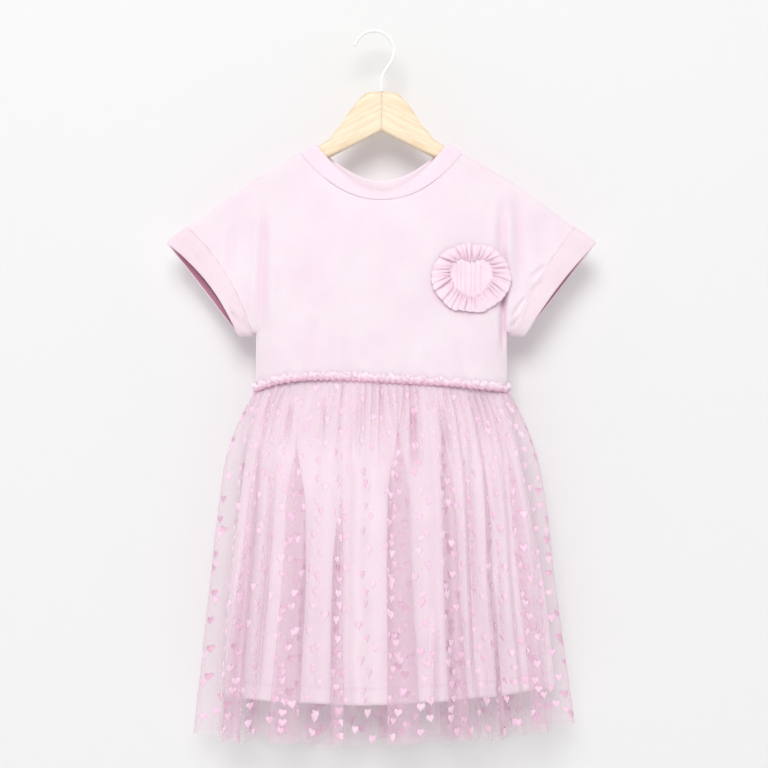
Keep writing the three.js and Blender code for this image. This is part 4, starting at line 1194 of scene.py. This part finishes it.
def waist_frill(materials):
    """A strip that stands up all round the waist seam, in small uneven gathers, with its edge curled over."""
    count, rows = 1500, 14
    at, even, turns, tangent, out = waist_loop(count)
    w = np.linspace(0, 1, rows)[:, None]
    drift = 0.35 * np.sin(2 * np.pi * 17 * turns) + 0.3 * np.sin(2 * np.pi * 29 * turns + 1.2)
    phase = FRILL_WAVES * turns + drift
    sizes = np.random.default_rng(7).uniform(0.5, 1.3, FRILL_WAVES + 1)
    sizes[-1] = sizes[0]
    size = np.interp(phase % FRILL_WAVES, np.arange(FRILL_WAVES + 1), sizes)
    wave = np.cos(2 * np.pi * (phase + 0.12 * w)) * size
    small = np.cos(2 * np.pi * (2.3 * FRILL_WAVES * turns)) * 0.3
    drift = 0.3 * np.sin(2 * np.pi * 7 * turns) + 0.25 * np.sin(2 * np.pi * 19 * turns + 1)
    lumps = np.abs(np.sin(np.pi * (FRILL_LUMPS * turns + drift))) ** 0.7 - 0.6
    curl = 1.1 * np.sin(np.pi * np.minimum(1, w * 1.15)) + 0.7 * w - 0.5 * (1 - quarter_round(w * 9))
    crumpled_out, crumpled_up = (
        mottle(even + 0 * w, w * 11 + 0 * even, *numbers) for numbers in ((77, 3.0, 8.0), (78, 2.6, 6.0))
    )
    push = 1.9 + curl + (0.6 * wave + small + 2.2 * lumps) * (0.2 + 0.8 * w)
    push = push + 1.1 * crumpled_out * smooth(w * 3)
    height = 9.3 + 1.4 * ripple(turns * 60, 9, 0.4, 1.6) + 0.6 * wave + 4.2 * lumps
    crinkle = np.where(at[:, 1] < 0, *(seam_crinkle(at[:, 0], panel) for panel in (FRONT, BACK)))
    up = 0.1 + height * w * (1 - 0.12 * w) + crinkle * (1 - 0.4 * w) + 0.8 * crumpled_up * w
    aside = (np.sin(2 * np.pi * phase) * 1.1 * size + 1.5 * ripple(turns * 60, 12, 0.5, 1.2)) * w
    points = at + out * push[..., None] + tangent * aside[..., None] + up[..., None] * np.array([0, 0, 1.0])
    uv = np.stack([np.broadcast_to(even, (rows, count)) * 1.6, np.broadcast_to(w * 12, (rows, count))], -1)
    values = {"rise": np.broadcast_to(w[::-1], (rows, count))}
    faces = grid_faces(rows, count, True)
    return cloth_wall(mesh_piece("gathered_frill", points[::-1], faces, materials, uv, values), FRILL_JERSEY)


# Hanger and hook


def arm_sections(x, top, bottom, thick):
    """Closed sections of the arm, square to its length, with round corners."""
    turn = np.radians(np.linspace(0, 90, 9))
    round_ = np.minimum(np.minimum(HANGER_ROUND, thick / 2.2), (top - bottom) / 2.2)[:, None]
    flat_y, flat_z = thick[:, None] / 2 - round_, (top - bottom)[:, None] / 2 - round_
    middle = ((top + bottom) / 2)[:, None]
    corners = []
    for number, (sign_y, sign_z) in enumerate([(1, 1), (-1, 1), (-1, -1), (1, -1)]):
        a = turn + np.pi / 2 * number
        y = sign_y * flat_y + round_ * np.cos(a)
        z = middle + sign_z * flat_z + round_ * np.sin(a)
        corners.append(np.stack(np.broadcast_arrays(x[:, None], y, z), -1))
    return np.concatenate(corners, 1)


def hanger_arm(name, side, materials):
    """A loft of rounded sections along the head's profile, the arm's slope and the rounded tip."""
    tip = HANGER_HALF - HANGER_TIP
    turn = np.radians(np.linspace(0, 86, 14)[1:])
    head_x = np.linspace(HEAD_PROFILE[0, 0], HEAD_ENDS_X, 60)
    arm_x = np.linspace(ARM_BEGINS_X, tip, 30)
    x = np.concatenate([head_x, arm_x, tip + HANGER_TIP * np.sin(turn)])
    top = ridge_z(x) - HANGER_BELOW_RIDGE
    top[: len(head_x)] = table_at(HEAD_PROFILE, head_x)[:, 1]
    bottom = HEAD_BOTTOM_Z - HANGER_SLOPE * x
    share = np.concatenate([np.ones(len(head_x) + len(arm_x)), np.cos(turn)])
    middle, reach = (top + bottom) / 2, (top - bottom) / 2 * share
    rings = arm_sections(x, middle + reach, middle - reach, HANGER_THICK * mix(1, share, 0.7))
    rings[..., 0] *= side
    faces = [face[::-side] for face in loft_faces(*rings.shape[:2])]
    return mesh_piece(name, rings, np.array(faces, dtype=object), materials)


def hook_wire(materials):
    """A round section carried along the bow and down the bend to the shank, with a rounded free end."""
    radius = HOOK_INSIDE + WIRE / 2
    bow = np.radians(np.linspace(HOOK_TIP_ANGLE, HOOK_LEAVES_BOW, 90))
    ring = np.stack([radius * np.cos(bow), radius * np.sin(bow) - HOOK_INSIDE], -1)
    t = np.linspace(0, 1, 50)[1:, None]
    a, b, c, d = ring[-1], np.array([13.8, -39.3]), np.array([CENTRE_X, -44.0]), np.array([CENTRE_X, -54.0])
    bend = a * (1 - t) ** 3 + b * 3 * t * (1 - t) ** 2 + c * 3 * t * t * (1 - t) + d * t**3
    shank = np.stack([np.full(8, CENTRE_X), np.linspace(-55, -63.8, 8)], -1)
    path = np.concatenate([ring, bend, shank])
    along = unit(np.gradient(path, axis=0))
    wide = np.full(len(path), WIRE / 2)
    nose = np.radians(np.linspace(0, 80, 7))
    tip = path[0] - along[0] * (WIRE / 2 * np.sin(nose[::-1]))[:, None]
    path = np.concatenate([tip, path[1:]])
    along = np.concatenate([np.repeat(along[:1], len(nose), 0), along[1:]])
    wide = np.concatenate([WIRE / 2 * np.cos(nose[::-1]), wide[1:]])
    turn = np.radians(np.arange(0, 360, 15))
    aside = np.stack([-along[:, 1], along[:, 0]], -1)
    x = path[:, :1] + aside[:, :1] * wide[:, None] * np.cos(turn)
    z = path[:, 1:] + aside[:, 1:] * wide[:, None] * np.cos(turn)
    y = wide[:, None] * np.sin(turn)
    points = np.stack(np.broadcast_arrays(x - CENTRE_X, y, z), -1)
    return mesh_piece("hook_wire", points, np.array(loft_faces(*points.shape[:2]), dtype=object), materials)


# Stage


def stage_sheet(name, corners, material):
    mesh = bpy.data.meshes.new(name)
    mesh.from_pydata(corners, [], [(0, 1, 2, 3)])
    mesh.materials.append(material)
    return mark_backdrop(placed_object(name, mesh))


def wall_finish(name, colour):
    """Plain paint that doesn't show from behind and casts no shadow."""
    finish = Finish(name, Roughness=0.95, Specular_IOR_Level=0.0)
    finish.feed("Base Color", colour)
    back = finish.node("ShaderNodeNewGeometry", {}, {}, "Backfacing")
    shadow = finish.node("ShaderNodeLightPath", {}, {}, "Is Shadow Ray")
    clear = finish.node("ShaderNodeBsdfTransparent", {}, {})
    shown = finish.node("ShaderNodeMixShader", {}, {0: back.at_least(shadow), 2: clear})
    tree = finish.tree
    tree.links.new(finish.shader.outputs[0], shown.socket.node.inputs[1])
    tree.links.new(shown.socket, tree.nodes["Material Output"].inputs[0])
    return finish.material


def area_light(name, place, target, size, power):
    light = bpy.data.lights.new(name, "AREA")
    light.size, light.energy = size, power
    obj = placed_object(name, light)
    obj.location = place
    aim = Vector(target) - obj.location
    obj.rotation_euler = aim.to_track_quat("-Z", "Y").to_euler()


def set_stage():
    floor = Finish("floor_paint", Roughness=0.9)
    floor.feed("Base Color", FLOOR_PAINT)
    signs = ((-1, -1), (1, -1), (1, 1), (-1, 1))
    heights = {-1: FLOOR_Z, 1: WALL_TOP}
    wall_corners = [(a * ROOM_HALF, WALL_Y, heights[b]) for a, b in signs]
    stage_sheet("wall", wall_corners, wall_finish("wall_paint", WALL_PAINT))
    stage_sheet("floor", [(a * ROOM_HALF, b * ROOM_HALF, FLOOR_Z) for a, b in signs], floor.material)
    scene = bpy.context.scene
    scene.world = bpy.data.worlds.new("soft_room")
    scene.world.use_nodes = True
    colour, strength = scene.world.node_tree.nodes["Background"].inputs[:2]
    colour.default_value, strength.default_value = (1, 1, 1, 1), WORLD_LIGHT
    for name, settings in LIGHTS.items():
        area_light(name, *settings)
    camera = bpy.data.cameras.new("camera")
    camera.lens, camera.sensor_width = CAMERA_LENS, CAMERA_SENSOR
    scene.camera = placed_object("camera", camera)
    scene.camera.location = CAMERA_PLACE
    scene.camera.rotation_euler = (np.pi / 2, 0, 0)
    scene.view_settings.view_transform = "Standard"
    scene.cycles.transparent_max_bounces = 24


# The dress and its hanger

jersey, cuff_jersey_painted_shade, sleeve_inside_painted_shade = map(jersey_finish, ("jersey", "cuff_jersey_painted_shade", "sleeve_inside_painted_shade"))
net = net_finish()
flock = heart_finish()

for piece, panel in (("bodice_front", FRONT), ("bodice_back", BACK)):
    made = finish_piece(bodice_panel(piece + "_jersey", panel, [jersey]), "jersey", piece)
for piece, side in (("cuff_left", -1), ("cuff_right", 1)):
    made = finish_piece(cuff_piece(piece + "_turned", side, [cuff_jersey_painted_shade, sleeve_inside_painted_shade]), "jersey", piece)
band = finish_piece(neck_band([rib_finish()]), "rib", "neck_band")
patch = finish_piece(pocket_patch([pocket_finish()]), "jersey", "pocket_heart")
ruffle = finish_piece(pocket_ruffle([frill_finish("pocket_frill")]), "frill", "pocket_ruffle")
frill = finish_piece(waist_frill([frill_finish("waist_frill")]), "frill", "waist_frill")
lining = lining_finish()
for piece, panel in (("underskirt_front", FRONT), ("underskirt_back", BACK)):
    made = finish_piece(lining_panel(piece + "_lining", panel, FOLDS[piece], [lining]), "lining", piece)
for piece, panel in (("overskirt_front", FRONT), ("overskirt_back", BACK)):
    points, gathered = net_grid(panel, FOLDS[piece])
    made = finish_piece(net_panel(piece + "_net", panel, points, gathered, [net]), "net", piece)
    hearts = finish_piece(flocked_hearts(piece + "_hearts", panel, points, [flock]), "net")
for piece, side in (("hanger_arm_left", -1), ("hanger_arm_right", 1)):
    finish_piece(hanger_arm(piece + "_wood", side, [wood_finish(piece + "_grain", side)]), "wood", piece)
finish_piece(hook_wire([wire_finish()]), "hook_wire", "hook")
set_stage()
